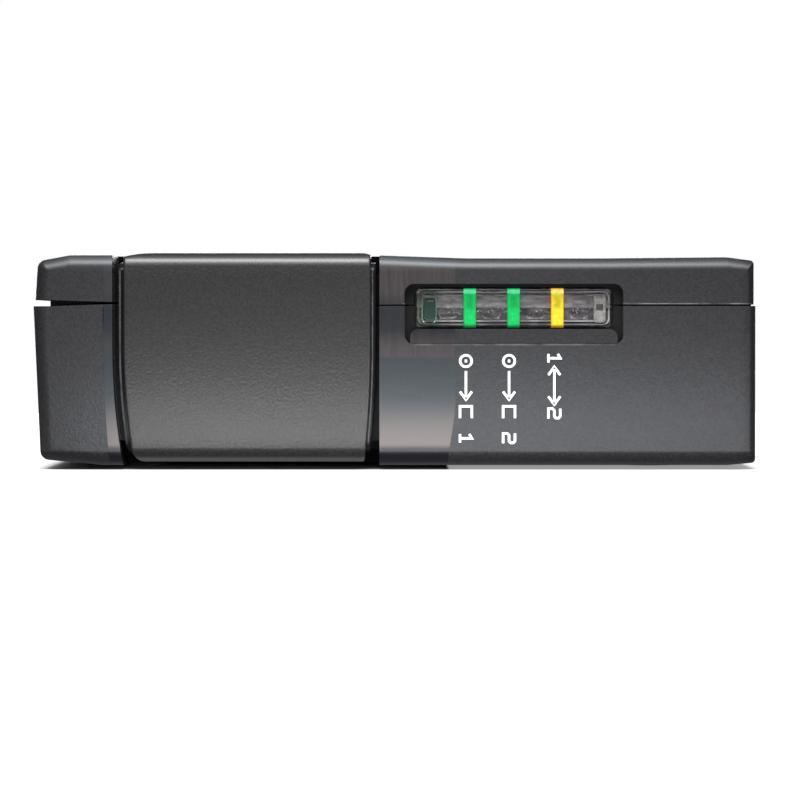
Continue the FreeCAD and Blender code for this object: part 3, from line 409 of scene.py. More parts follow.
class Shader:
    """A material with one Principled shader and short calls to build round it."""

    def __init__(self, name, roughness=0.5, **settings):
        self.material = bpy.data.materials.new(name)
        self.material.use_nodes = True
        self.tree = self.material.node_tree
        self.surface = next(n for n in self.tree.nodes if n.type == "BSDF_PRINCIPLED")
        self.surface.inputs["Roughness"].default_value = roughness
        for socket, value in settings.items():
            self.set(socket.replace("_", " "), value)
        self.place = self.add("ShaderNodeTexCoord").outputs["Object"]

    def add(self, kind, inputs=None, **settings):
        node = self.tree.nodes.new(kind)
        for key, value in settings.items():
            setattr(node, key, value)
        for key, value in (inputs or {}).items():
            self.feed(node.inputs[key], value)
        return node

    def feed(self, socket, value):
        if isinstance(value, bpy.types.NodeSocket):
            self.tree.links.new(value, socket)
        elif socket.type == "RGBA" and len(value) == 3:
            socket.default_value = (*value, 1)
        else:
            socket.default_value = value

    def set(self, name, value):
        self.feed(self.surface.inputs[name], value)

    def math(self, operation, first, second=0.0):
        node = self.add("ShaderNodeMath", {0: first, 1: second}, operation=operation)
        return node.outputs[0]

    def times(self, first, *others):
        for other in others:
            first = self.math("MULTIPLY", first, other)
        return first

    def minus(self, first, second):
        return self.math("SUBTRACT", first, second)

    def larger(self, first, second):
        return self.math("MAXIMUM", first, second)

    def axes(self):
        """The places across the box, from front to rear, and over the floor."""
        parts = self.add("ShaderNodeSeparateXYZ", {0: self.place})
        return [parts.outputs[letter] for letter in "XYZ"]

    def axis(self, letter):
        return self.axes()["XYZ".index(letter)]

    def noise(self, size, detail=2.0, stretch=(1, 1, 1)):
        """Noise whose features are about a size in metres, stretched per axis."""
        scaled = self.add(
            "ShaderNodeVectorMath", {0: self.place, 1: stretch}, operation="MULTIPLY"
        )
        texture = self.add(
            "ShaderNodeTexNoise",
            {"Vector": scaled.outputs[0], "Scale": 1 / size, "Detail": detail},
        )
        return texture.outputs["Fac"]

    def ramp(self, value, low, high, start=0.0, end=1.0):
        """A value between two limits, mapped smoothly to a range."""
        node = self.add(
            "ShaderNodeMapRange",
            {"Value": value, 1: low, 2: high, 3: start, 4: end},
            interpolation_type="SMOOTHSTEP",
        )
        return node.outputs[0]

    def band(self, value, low, high, soft):
        rising = self.ramp(value, low - soft, low + soft)
        falling = self.ramp(value, high - soft, high + soft, 1.0, 0.0)
        return self.times(rising, falling)

    def mix(self, factor, first, second):
        node = self.add("ShaderNodeMix", data_type="RGBA")
        self.feed(node.inputs["Factor"], factor)
        self.feed(node.inputs[6], first)
        self.feed(node.inputs[7], second)
        return node.outputs[2]

    def draw_in(self, bar, reach=None):
        """How far a side of the bar or waist has drawn in at each point's height."""
        start = BASE + bar.taper_height
        drop = self.larger(self.minus(start, self.axis("Z")), 0.0)
        part = self.math("DIVIDE", drop, bar.taper_height)
        return self.times(part, part, reach or bar.taper)

    def lower_edge_shade(self, begin, end, least):
        """Painted shade along the lower rounding: the share of gloss left there, between two heights."""
        edge = self.band(self.axis("Z"), begin, end, 0.3 * MM)
        return self.ramp(edge, 0.0, 1.0, 1.0, least)

    def even_grain(self, top):
        """The strength of the grain, which fades out on the upper rounding."""
        return self.ramp(self.axis("Z"), top - 2.6 * MM, top - 1.6 * MM, 1.0, 0.2)

    def ledge(self, window):
        """The ledge under the lens."""
        soft = 0.1 * MM
        start = FRONT + window.ledge_depth
        along = self.band(self.axis("X"), LENS[0].x, LENS[1].x, soft)
        level = lens_base(window)
        under = self.band(self.axis("Z"), level - window.ledge - soft, level, soft)
        sunk = self.band(self.axis("Y"), start - soft, start + soft, soft / 2)
        return self.times(along, under, sunk)

    def bump(self, height, depth, strength=1.0):
        node = self.add("ShaderNodeBump", {"Height": height, "Distance": depth})
        self.feed(node.inputs["Strength"], strength)
        self.set("Normal", node.outputs[0])


def shade(values, factor):
    return tuple(value * factor for value in values)


def lens_base(window):
    """The level that the lens opening starts at, which the ledge reaches up to."""
    return LENS[0].z + window.flange - window.fit


def recess_base(window):
    return lens_base(window) - window.ledge


def grained(shader, tone, grain, size, spread):
    """Plastic that is a little uneven, and darker in the hollows of its grain, which is painted shade.
    """
    plain = shader.mix(
        shader.noise(size, 3.0), shade(tone, 1 - spread), shade(tone, 1 + spread)
    )
    # Painted shade: the hollows of the grain drop to 0.6 of the tone.
    return shader.mix(shader.ramp(grain, 0.3, 0.7), shade(tone, 0.6), plain)


def case_finish(settings):
    """Fine-grained black plastic, polished in a field on each side of the bar. Painted reflections tint
    those fields, a painted highlight runs below the ledge beside a pale line along the seam, and painted
    shade darkens the inside of the waist and the window."""
    finish, bar, window = settings.finish, settings.bar, settings.window
    shader = Shader("case_plastic")
    across, depth, height = shader.axes()
    faces = shader.ramp(depth, FRONT + 1.5 * MM, FRONT + 2.5 * MM, 1.0, 0.0)
    field, hair = smooth_fields(shader, bar, faces)
    grain = shader.noise(finish.grain)
    shown = shader.mix(
        field, grained(shader, finish.case, grain, 9 * MM, 0.08), field_tone_and_painted_reflections(shader)
    )
    # A pale line along the seam, and a painted highlight along the ledge's lower edge.
    shown = shader.mix(seam_line_and_ledge_highlight(shader, settings, faces), shown, (0.13, 0.13, 0.14))
    # Painted shade: the waist and the ring round the lens go near black, a little lighter right of the
    # middle. The hairline takes the same colour.
    inner = shader.larger(inner_places(shader, bar, window), hair)
    dark = shader.mix(
        shader.ramp(across, -1 * MM, 0.0), (0.002, 0.002, 0.002), (0.006, 0.006, 0.006)
    )
    shader.set("Base Color", shader.mix(inner, shown, dark))
    # Specular strength by place paints a highlight along the top's rounding and shade on the ledge, the
    # base, the right end and the shaded places.
    shader.set("Specular IOR Level", case_gloss_and_painted_light(shader, window, inner))
    shader.set("Specular Tint", (0.92, 0.95, 1.0))
    rounding = shader.ramp(height, TOP - 2.6 * MM, TOP - 1.6 * MM, 0.0, 0.05)
    polish = shader.times(field, shader.ramp(height, 28 * MM, 29 * MM, 1.0, 0.0))
    rough = shader.ramp(polish, 0.0, 1.0, finish.case_roughness, finish.polished_roughness)
    shader.set("Roughness", shader.math("ADD", rough, rounding))
    strength = shader.times(shader.even_grain(TOP), shader.ramp(field, 0, 1, 1.0, 0.25))
    shader.bump(grain, finish.grain_depth, strength)
    return shader.material


def smooth_fields(shader, bar, faces):
    """The fields beside the bar, and the dark hairline along the left one."""
    across, _, height = shader.axes()
    low, high = CARRIER
    edge = high.x + bar.gap_right
    slant = shader.ramp(height, 0.5 * MM, 9.5 * MM, -1.0 * MM, 0.0)
    right = shader.band(
        shader.minus(across, slant), edge - 1.5 * MM, edge + 10.85 * MM, 0.02 * MM
    )
    side = shader.minus(across, shader.times(shader.draw_in(bar), 0.6))
    left = shader.band(side, low.x - 2.1 * MM, low.x + 1.0 * MM, 0.03 * MM)
    hair = shader.times(
        shader.band(side, low.x - 2.22 * MM, low.x - 2.08 * MM, 0.03 * MM), faces,
        shader.ramp(height, 19.5 * MM, 21.8 * MM, 0.15, 1.0),
        shader.ramp(height, 23.3 * MM, 23.5 * MM, 1.0, 0.0),
    )
    return shader.times(shader.larger(left, right), faces), hair


def field_tone_and_painted_reflections(shader):
    """The tones of the fields, mostly painted reflection: streaked above, with brushed lines in part,
    even below, and pale over a dark foot of painted shade.
    """
    across, _, height = shader.axes()
    # Painted reflections, with brushed lines in part: tones streaked upright above.
    streaks = shader.noise(0.5 * MM, 3.0, (1, 1, 0.07))
    warm = shader.mix(streaks, (0.012, 0.0095, 0.01), (0.045, 0.037, 0.037))
    deep = shader.mix(streaks, (0.002, 0.002, 0.003), (0.01, 0.01, 0.013))
    upper = shader.band(height, 16.1 * MM, 29.4 * MM, 0.1 * MM)
    soft = shader.times(shader.band(height, 17.5 * MM, 29.0 * MM, 2.5 * MM), 0.6)
    upper = shader.mix(shader.ramp(across, 0.0, CARRIER[0].x), upper, soft)
    middle = shader.band(height, 18.9 * MM, 24.2 * MM, 1.6 * MM)
    # Painted reflection: the even part turns pale towards the base.
    glow = shader.ramp(height, 3.5 * MM, 11.0 * MM, 1.0, 0.0)
    even = shader.mix(glow, (0.013, 0.018, 0.021), (0.088, 0.072, 0.066))
    # Painted shade: a dark foot along the lower rounding.
    foot = shader.ramp(height, 2.9 * MM, 3.7 * MM)
    even = shader.mix(foot, (0.004, 0.004, 0.006), even)
    return shader.mix(upper, even, shader.mix(middle, warm, deep))


def seam_line_and_ledge_highlight(shader, settings, faces):
    """Light lines: a pale line along the seam right of the bar, and a painted highlight below the ledge,
    both broken up by noise.
    """
    across, _, height = shader.axes()
    seam = settings.case.seam_level + settings.case.seam_gap / 2
    edge = CARRIER[1].x + settings.bar.gap_right
    base = recess_base(settings.window)
    upper = shader.times(
        shader.band(height, seam + 0.06 * MM, seam + 0.2 * MM, 0.06 * MM),
        shader.ramp(across, edge + 3 * MM, edge + 4 * MM),
    )
    # Painted highlight along the ledge's lower edge.
    lower = shader.times(
        shader.band(height, base - 0.16 * MM, base + 0.1 * MM, 0.06 * MM),
        shader.band(across, LENS[0].x + 1 * MM, LENS[1].x - 1 * MM, 0.5 * MM), 0.5,
    )
    patchiness = shader.ramp(shader.noise(2.5 * MM, 3.0, (1, 1, 0.1)), 0.35, 0.65, 0.1, 1.0)
    return shader.times(shader.larger(upper, lower), patchiness, faces)


def case_gloss_and_painted_light(shader, window, inner):
    """Gloss that paints light and shade: stronger along the top's rounding as a painted highlight,
    weaker on the ledge, at the base, towards the right end and in the shaded places as painted shade."""
    across, _, height = shader.axes()
    lost = shader.times(inner, shader.ramp(height, 27.5 * MM, 28.5 * MM, 0.7, 0.98))
    return shader.times(
        shader.ramp(across, 0.0, 50 * MM, 0.5, 0.41),
        shader.ramp(shader.ledge(window), 0, 1, 1.0, 0.7),
        shader.ramp(height, TOP - 2.4 * MM, TOP - 1.4 * MM, 1.0, 1.45),
        shader.ramp(height, TOP - 0.8 * MM, TOP - 0.2 * MM, 1.0, 1.5),
        shader.lower_edge_shade(BASE - 1 * MM, 2.6 * MM, 0.25),
        shader.ramp(across, SIDE - 2.6 * MM, SIDE, 1.0, 0.55),
        shader.minus(1.0, lost),
    )


def inner_places(shader, bar, window):
    """Where the case lies in shade: behind the bar and round the lens."""
    across, depth, height = shader.axes()
    left = CARRIER[0].x - bar.gap_left
    right = CARRIER[1].x + bar.gap_right
    rear = COVER[1].y
    waist = shader.times(
        shader.ramp(
            shader.minus(across, shader.draw_in(bar)), left + 0.04 * MM, left + 0.08 * MM
        ),
        shader.ramp(across, right - 0.08 * MM, right - 0.04 * MM, 1.0, 0.0),
        shader.ramp(depth, rear + 1.15 * MM, rear + 1.25 * MM, 1.0, 0.0),
    )
    soft = 0.05 * MM
    reach = window.width / 2 - soft
    base = recess_base(window)
    ring = shader.times(
        shader.band(across, LENS_MIDDLE - reach, LENS_MIDDLE + reach, soft),
        shader.band(height, base, base + window.height - soft, soft),
        shader.band(depth, FRONT + window.ledge_depth + 0.15 * MM, FRONT + 2.6 * MM, soft),
    )
    return shader.larger(waist, ring)


def cover_finish(settings):
    finish = settings.finish
    shader = Shader("cover_plastic", finish.case_roughness - 0.05)
    grain = shader.noise(finish.grain)
    height = shader.axis("Z")
    base, top = COVER[0].z, COVER[1].z
    shader.set("Base Color", grained(shader, finish.cover, grain, 11 * MM, 0.07))
    # Specular strength paints shade along the lower rounding, and a highlight band along the upper
    # rounding that weakens again at the crest.
    shader.set("Specular IOR Level", shader.times(
        shader.lower_edge_shade(base + 0.7 * MM, base + 2.0 * MM, 0.3),
        shader.ramp(height, top - 2.2 * MM, top - 1.4 * MM, 0.48, 0.6),
        shader.ramp(height, top - 1.0 * MM, top - 0.3 * MM, 1.0, 0.6),
    ))
    shader.bump(grain, finish.grain_depth, shader.even_grain(top))
    return shader.material


def rim_finish(settings):
    """Polished black with a painted highlight: a paler, glossier line along the rounded edge beside the
    cover.
    """
    bar = settings.bar
    shader = Shader("rim_plastic", 0.25)
    across, depth, height = shader.axes()
    low, high = CARRIER
    lines = []
    for distance, reach, begin, end in (
        (shader.minus(across, low.x), bar.taper, 0.0, 0.3),
        (shader.minus(high.x, across), bar.far_taper, 0.42, 0.6),
    ):
        inward = shader.minus(distance, shader.draw_in(bar, reach))
        lines.append(shader.band(inward, begin * MM, end * MM, 0.05 * MM))
    line = shader.times(
        shader.larger(*lines),
        shader.ramp(depth, low.y + 0.6 * MM, low.y + 1.0 * MM, 1.0, 0.0),
        shader.band(height, low.z + 1.2 * MM, high.z - 1.0 * MM, 0.5 * MM),
        shader.ramp(shader.noise(1.4 * MM), 0.25, 0.75, 0.5, 1.0),
    )
    # Painted highlight: the line is paler and glossier than the rest of the rim.
    shader.set("Base Color", shader.mix(line, tuple(settings.finish.rim), (0.1, 0.1, 0.105)))
    shader.set("Specular IOR Level", shader.ramp(line, 0.0, 1.0, 0.07, 0.25))
    shader.set("Roughness", shader.ramp(line, 0.0, 1.0, 0.25, 0.4))
    shader.bump(shader.noise(1.5 * MM), 0.002 * MM)
    return shader.material


def moulded(name, base, roughness, grain=0.6, depth=0.004, size=4.0, spread=0.1, **settings):
    """Plain moulded plastic or rubber with a little unevenness."""
    shader = Shader(name, roughness, **settings)
    mottle = shader.ramp(shader.noise(size * MM, 3.0), 0.2, 0.8)
    shader.set("Base Color", shader.mix(mottle, shade(base, 1 - spread), shade(base, 1 + spread)))
    shader.bump(shader.noise(grain * MM), depth * MM)
    return shader.material


def metal(name, base, roughness, lines=(1, 1, 1), size=0.3):
    """Metal with drawn or turned lines."""
    shader = Shader(name, roughness, Metallic=1.0)
    streaks = shader.noise(size * MM, 3.0, lines)
    shader.set("Base Color", shader.mix(streaks, shade(base, 0.86), base))
    shader.bump(streaks, 0.003 * MM)
    return shader.material


def clear_finish():
    """Clear moulded plastic that shows what lies behind it."""
    shader = Shader("lens_plastic", 0.05, Alpha=0.1, IOR=1.49)
    shader.set("Base Color", (0.04, 0.04, 0.043))
    shader.bump(shader.noise(1.6 * MM, 2.0, (0.3, 1, 1)), 0.01 * MM, 0.5)
    return shader.material


def core_finish(level):
    """The streaky moulding seen through the lens, paler below its middle."""
    shader = Shader("core_plastic", 0.2)
    streaks = shader.noise(0.55 * MM, 4.0, (0.14, 1, 1))
    cloud = shader.noise(0.9 * MM, 3.0, (0.6, 1, 1))
    lower = shader.ramp(shader.axis("Z"), level - 0.25 * MM, level + 0.1 * MM, 1.0, 0.0)
    upper = shader.mix(shader.ramp(streaks, 0.3, 0.7), (0.14, 0.135, 0.14), (0.26, 0.25, 0.255))
    under = shader.mix(shader.ramp(streaks, 0.3, 0.7), (0.02, 0.019, 0.02), (0.08, 0.076, 0.08))
    tone = shader.mix(lower, upper, under)
    flecks = shader.times(
        shader.ramp(shader.noise(0.35 * MM, 1.0), 0.62, 0.72),
        shader.band(shader.axis("Z"), level - 0.9 * MM, level + 0.2 * MM, 0.4 * MM),
    )
    tone = shader.mix(flecks, tone, (0.36, 0.35, 0.36))
    shader.set("Base Color", shader.mix(shader.ramp(cloud, 0.45, 0.75), tone, (0.1, 0.095, 0.1)))
    shader.bump(streaks, 0.06 * MM, 0.5)
    return shader.material


def lens_highlight_finish(left):
    """Painted highlights of the lens's edges: pale along the lens, green-grey round its left end."""
    shader = Shader("rail_plastic", 0.25)
    along = shader.ramp(shader.axis("X"), left + 2.4 * MM, left + 4.6 * MM)
    patch = shader.ramp(shader.noise(2.2 * MM), 0.35, 0.65)
    pale = shader.mix(patch, (0.13, 0.13, 0.135), (0.3, 0.3, 0.31))
    shader.set("Base Color", shader.mix(along, (0.07, 0.095, 0.07), pale))
    return shader.material


def glow_finish(name, tone, edge, light, middle_x, level, half_height):
    """A lit bar: a pale cap, a dull upper part, a bright lower one and a dark foot."""
    shader = Shader(name, 0.25)
    height = shader.axis("Z")
    across = shader.math("ABSOLUTE", shader.minus(shader.axis("X"), middle_x))
    rim = shader.ramp(across, 0.6 * MM, 0.95 * MM)
    ends = shader.ramp(
        shader.math("ABSOLUTE", shader.minus(height, level)),
        half_height * 0.78, half_height,
    )
    tint = shader.mix(shader.larger(rim, ends), tone, edge)
    cloud = shader.noise(0.6 * MM, 3.0)
    upper = shader.band(height, level - 0.1 * MM, level + 1.9 * MM, 0.45 * MM)
    dull = shader.times(upper, shader.ramp(across, 0.1 * MM, 0.85 * MM, 0.7, 0.1))
    shader.set("Base Color", shade(tone, 0.2))
    cap = shader.band(height, level + half_height * 0.72, level + half_height * 0.92, 0.12 * MM)
    tint = shader.mix(cap, tint, light)
    foot = shader.ramp(height, level - half_height * 0.92, level - half_height * 0.8, 1.0, 0.0)
    tint = shader.mix(foot, tint, shade(edge, 0.2))
    shader.set("Emission Color", shader.mix(dull, tint, shade(tone, 0.3)))
    shader.set("Emission Strength", shader.ramp(cloud, 0.3, 0.7, 0.72, 0.98))
    return shader.material


# Operators: one for each piece or group of like pieces

class BuildCase(bpy.types.Operator):
    """Build the two case shells with their waist, window, seam and screw bosses"""

    bl_idname = "switch_box.build_case"
    bl_label = "Case Shells"

    def execute(self, context):
        settings = context.scene.switch_box
        case, bar, window = settings.case, settings.bar, settings.window
        material = case_finish(settings)
        for above in (False, True):
            name = "upper_case" if above else "lower_case"
            side = (UPPER if above else LOWER)[1].x
            shell = cut(self.form(case, name, side), self.hollow(case, bar))
            overlap(shell, self.seam_side(case, above))
            if not above:
                shell = join(
                    shell, self.tongue(case, bar, window), self.sill(case), *self.bosses(case)
                )
                shell = cut(shell, *self.boss_holes())
            cut(shell, self.waist(bar), *self.window_cutters(window))
            soften(shell, case.edge_break)
            node = "upper_shell" if above else "lower_shell"
            dress(shell, material, "housing", "case_black", node)
        return {"FINISHED"}

    def form(self, case, name, side):
        """The closed outside of the case, with its ends at a distance from the middle."""
        low, high = LOWER[0], UPPER[1]
        base, top = low.z, high.z
        low_top = top - case.top_step
        waist = CARRIER[1].x
        corner, bend = case.corner_round, case.bend_round
        corners = [
            (-side + case.left_base_reach + case.side_lean, base, bend),
            (side - case.right_reach, base, bend),
            (side, base + case.right_drop, case.right_round),
            (side, low_top - case.right_drop, case.right_round),
            (side - case.right_reach, low_top + case.right_rise, bend),
            (side - case.rise_reach, low_top, bend),
            (waist + case.top_step_length, low_top, bend),
            (waist, top, case.edge_break),
            (-side + case.left_reach, top, bend),
            (-side + case.upper_lean, top - case.left_drop, corner),
            (-side, case.seam_level, case.edge_break),
            (-side + case.side_lean, base + case.left_drop, corner),
        ]

        def sharpen(across, level, inset):
            """Rounds the right edge, and the top a little, less than the rest."""
            reach = 8 * MM  # how far from an edge its rounding still changes
            beside = min(max(1 - (side - inset - across) / reach, 0), 1)
            under = min(max(1 - (top - inset - level) / reach, 0), 1)
            return (
                across + case.right_pull * inset * beside ** 2,
                level + case.top_pull * inset * under ** 2,
            )

        return front_solid(
            name, corners, low.y, high.y, case.front_round, case.rear_round, sharpen
        )

    def hollow(self, case, bar):
        """The room inside, less the walls round the waist."""
        wall = case.wall
        side = SIDE - wall
        base = BASE + wall
        top = TOP - case.top_step - wall
        front = FRONT + wall
        rear = PANEL[1].y
        inset = 1.0 * MM
        room = block("room", (-side, front, base), (side, rear, top))
        doorway = block(
            "doorway", (-side + inset, rear - SPARE, base + inset),
            (side - inset, UPPER[1].y + SPARE, top - inset),
        )
        left, right, near, far, low, high = self.waist_core(bar)
        shell = bar.waist_wall
        shield = block(
            "shield", (left - shell, FRONT, BASE), (right + shell, far + shell, TOP)
        )
        inside = block(
            "shield_room", (left - shell - SPARE, near + shell, low + shell),
            (right + shell + SPARE, far + shell + SPARE, high - shell),
        )
        return cut(join(room, doorway), cut(shield, inside))

    def waist_core(self, bar):
        """Sides, front, rear, base and top of what the bar runs round."""
        low, high = CARRIER
        cover_low, cover_high = COVER
        wall = bar.cover_wall + bar.carrier_wall
        return (
            low.x - bar.gap_left,
            high.x + bar.gap_right,
            cover_low.y + wall + bar.travel + bar.stop_gap,
            cover_high.y + bar.travel + bar.stop_gap,
            cover_low.z + wall + bar.leg_gap,
            cover_high.z - wall - bar.leg_gap,
        )

    def waist(self, bar):
        """The recess that the bar moves in."""
        left, right, near, far, low, high = self.waist_core(bar)
        top = TOP + SPARE
        base = BASE - SPARE
        start = BASE + bar.taper_height
        steps = 12
        outline = [(left - bar.flare, top), (left - bar.flare, TOP), (left, TOP - bar.flare)]
        outline += [
            (left + bar.taper * share_down(bar, level), level)
            for level in falling(start, BASE, steps)
        ]
        outline += [
            (left + bar.taper, base), (right, base), (right, TOP - bar.flare),
            (right + bar.flare, TOP), (right + bar.flare, top),
        ]
        core = block("waist_core", (left - SPARE, near, low), (right + SPARE, far + SPARE, high))
        return cut(slab("waist_slab", outline, FRONT - SPARE, far), core)

    def window_cutters(self, window):
        """The window recess with the ledge that stands in it, and the lens opening."""
        base = recess_base(window)
        half = window.width / 2
        recess = front_solid(
            "recess",
            rectangle(
                (LENS_MIDDLE - half, base), (LENS_MIDDLE + half, base + window.height),
                window.rounding,
            ),
            FRONT - SPARE, FRONT + window.depth,
        )
        half -= window.ledge_inset
        ledge = front_solid(
            "ledge",
            rectangle(
                (LENS_MIDDLE - half, base - SPARE), (LENS_MIDDLE + half, lens_base(window)),
                window.ledge_round,
            ),
            FRONT + window.ledge_depth, FRONT + SPARE * 2,
        )
        inset = window.flange - window.fit
        opening = front_solid(
            "opening",
            rectangle(
                (LENS[0].x + inset, LENS[0].z + inset), (LENS[1].x - inset, LENS[1].z - inset),
                window.rounding + window.fit,
            ),
            FRONT, FRONT + SPARE * 2,
        )
        return cut(recess, ledge), opening

    def seam_side(self, case, above):
        """Everything above or below the seam, which runs a little higher to the left of
        the bar and opens out towards that end."""
        sign = 1 if above else -1
        level = case.seam_level + sign * case.seam_gap / 2
        open_level = case.seam_level + case.slot_rise + sign * case.slot_height / 2
        far = SIDE + SPARE
        inner = -SIDE + case.wall
        edge = TOP + SPARE if above else -SPARE
        outline = [
            (-far, edge), (-far, open_level), (inner, open_level),
            (inner + case.slot_flare, level + case.slot_rise), (CARRIER[1].x, level),
            (far, level), (far, edge),
        ]
        return slab("seam_side", outline, FRONT - SPARE, UPPER[1].y + SPARE)

    def tongue(self, case, bar, window):
        """The tongue on the lower shell, inside the seam."""
        side = SIDE - case.wall
        front = FRONT + case.wall
        rear = PANEL[0].y - CLEAR
        foot = case.seam_level - case.slot_height
        low, high = foot - case.tongue_height, LOWER[1].z
        under, over = low - SPARE, high + SPARE
        gap, wall = window.fit, case.tongue_wall
        root = block("tongue", (-side - gap, front - gap, low), (side + gap, rear, foot))
        rise = block(
            "tongue_rise", (-side + gap, front + gap, low + gap), (side - gap, rear, high)
        )
        room = block(
            "tongue_room", (-side + wall, front + wall, under), (side - wall, rear + SPARE, over)
        )
        left, right, _, far, _, _ = self.waist_core(bar)
        margin = bar.waist_wall + CLEAR
        bay = block(
            "waist_bay", (left - margin, FRONT, under), (right + margin, far + SPARE, over)
        )
        lens_bay = block(
            "lens_bay", (LENS[0].x - CLEAR, FRONT, under),
            (LENS[1].x + CLEAR, front + SPARE, over),
        )
        return cut(join(root, rise), room, bay, lens_bay)

    def sill(self, case):
        """A low step in the right wall that keeps light from passing along the seam."""
        side = UPPER[1].x
        depth = 0.35 * MM
        return block(
            "sill",
            (SIDE - case.wall, FRONT + case.wall, case.seam_level - case.seam_gap),
            (side - depth, PANEL[0].y, case.seam_level + case.seam_gap / 2 - 0.01 * MM),
        )

    def boss_places(self):
        """Centres of the case screws on the plan."""
        low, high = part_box("shell_screws")
        inset = 2.1 * MM
        return [
            (x, y) for x in (low.x + inset, high.x - inset) for y in (low.y + inset, high.y - inset)
        ]

    def bosses(self, case):
        half, low, high = BOSS_HALF, BASE + case.wall / 2, self.head_level() + BOSS_RISE
        return [
            block(f"boss_{number}", (x - half, y - half, low), (x + half, y + half, high))
            for number, (x, y) in enumerate(self.boss_places())
        ]

    def head_level(self):
        """Where the heads of the case screws bear."""
        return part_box("shell_screws")[0].z + HEAD_HEIGHT

    def boss_holes(self):
        level = self.head_level()
        return [
            rod(f"{name}_hole_{number}", (x, y, start), 2, radius, reach)
            for number, (x, y) in enumerate(self.boss_places())
            for name, start, radius, reach in (
                ("head", -SPARE, HEAD_HOLE, level + SPARE),
                ("shank", level - SPARE, SHANK_HOLE, SPARE * 4),
            )
        ]


def falling(start, end, steps):
    """Evenly spaced levels from a start down to an end."""
    return [start + (end - start) * step / steps for step in range(steps + 1)]


def share_down(bar, level):
    """How much of its taper a side of the bar or waist has made at a height."""
    start = BASE + bar.taper_height
    return (max(start - level, 0) / bar.taper_height) ** 2


class BuildBar(bpy.types.Operator):
    """Build the bar's grained cover and the glossy carrier behind it"""

    bl_idname = "switch_box.build_bar"
    bl_label = "Select Bar"

    def execute(self, context):
        settings = context.scene.switch_box
        bar = settings.bar
        wall, outer = bar.carrier_wall, bar.front_round
        cover = self.band("bar_cover", bar, COVER, bar.cover_wall, outer, bar.edge_round)
        dress(cover, cover_finish(settings), "bar", "bar_black", "select_bar")
        band = self.band("bar_rim", bar, CARRIER, wall, outer - 0.4 * MM, bar.rim_round)
        start = CARRIER[0].y + wall / 2
        level = (RETAINERS[0].z + RETAINERS[1].z) / 2
        middle = (COVER[0].x + COVER[1].x) / 2
        posts = [
            rod(
                f"guide_post_{number}", (middle + sign * bar.post_spread / 2, start, level), 1,
                bar.post_radius, RETAINERS[0].y - start,
            )
            for number, sign in enumerate((-1, 1))
        ]
        reach = NOSE_END - 0.05 * MM - start
        nose = rod("nose", (middle, start, level), 1, bar.nose_radius, reach, edge=0.2 * MM)
        band = join(band, *posts, nose)
        dress(band, rim_finish(settings), "bar", "gloss_black", "bar_carrier")
        return {"FINISHED"}

    def band(self, name, bar, box, wall, outer, edge):
        """A C-shaped band round the waist: a side outline run across the front, drawn in
        towards the base, with its side edges rounded. The cover's ends are eased too."""
        low, high = box
        front, rear = low.y, COVER[1].y
        inner = max(outer - wall, 0.3 * MM)
        corners = [
            (rear, low.z, edge),
            (rear, low.z + wall, edge),
            (front + wall, low.z + wall, inner),
            (front + wall, high.z - wall, inner),
            (rear, high.z - wall, edge),
            (rear, high.z, edge),
            (front, high.z, outer),
            (front, low.z, outer),
        ]
        width = high.x - low.x
        near = list(round_steps(edge, 4))
        near += [(0, depth * MM) for depth in (0.55, 0.8, 1.05, 1.3, 1.7, 2.2, 2.9, 3.6, 4.3, 6.0)]
        far = [(inset, width - depth) for inset, depth in reversed(near)]
        rings = []
        for inset, across in near + far:
            ring = []
            for point in rounded_outline(corners, inset, 14):
                y, z = point
                fraction = across / width
                draw_in = share_down(bar, z) * (
                    bar.taper * (1 - fraction) - bar.far_taper * fraction
                )
                if box is COVER:
                    z = self.eased(bar, across, width, z, low.z, high.z)
                ring.append((low.x + across + draw_in, y, z))
            rings.append(ring)
        return loft(name, rings)

    def eased(self, bar, across, width, level, base, top):
        """A level kept under the falling ends of the top and over the rising base."""
        left = max(1 - across / bar.left_reach, 0)
        right = max(1 - (width - across) / bar.right_reach, 0)
        top -= bar.left_fall * left ** 2 + bar.right_fall * right ** 2
        base += bar.foot_rise * max(1 - across / bar.foot_reach, 0) ** 2
        return min(max(level, base), top)


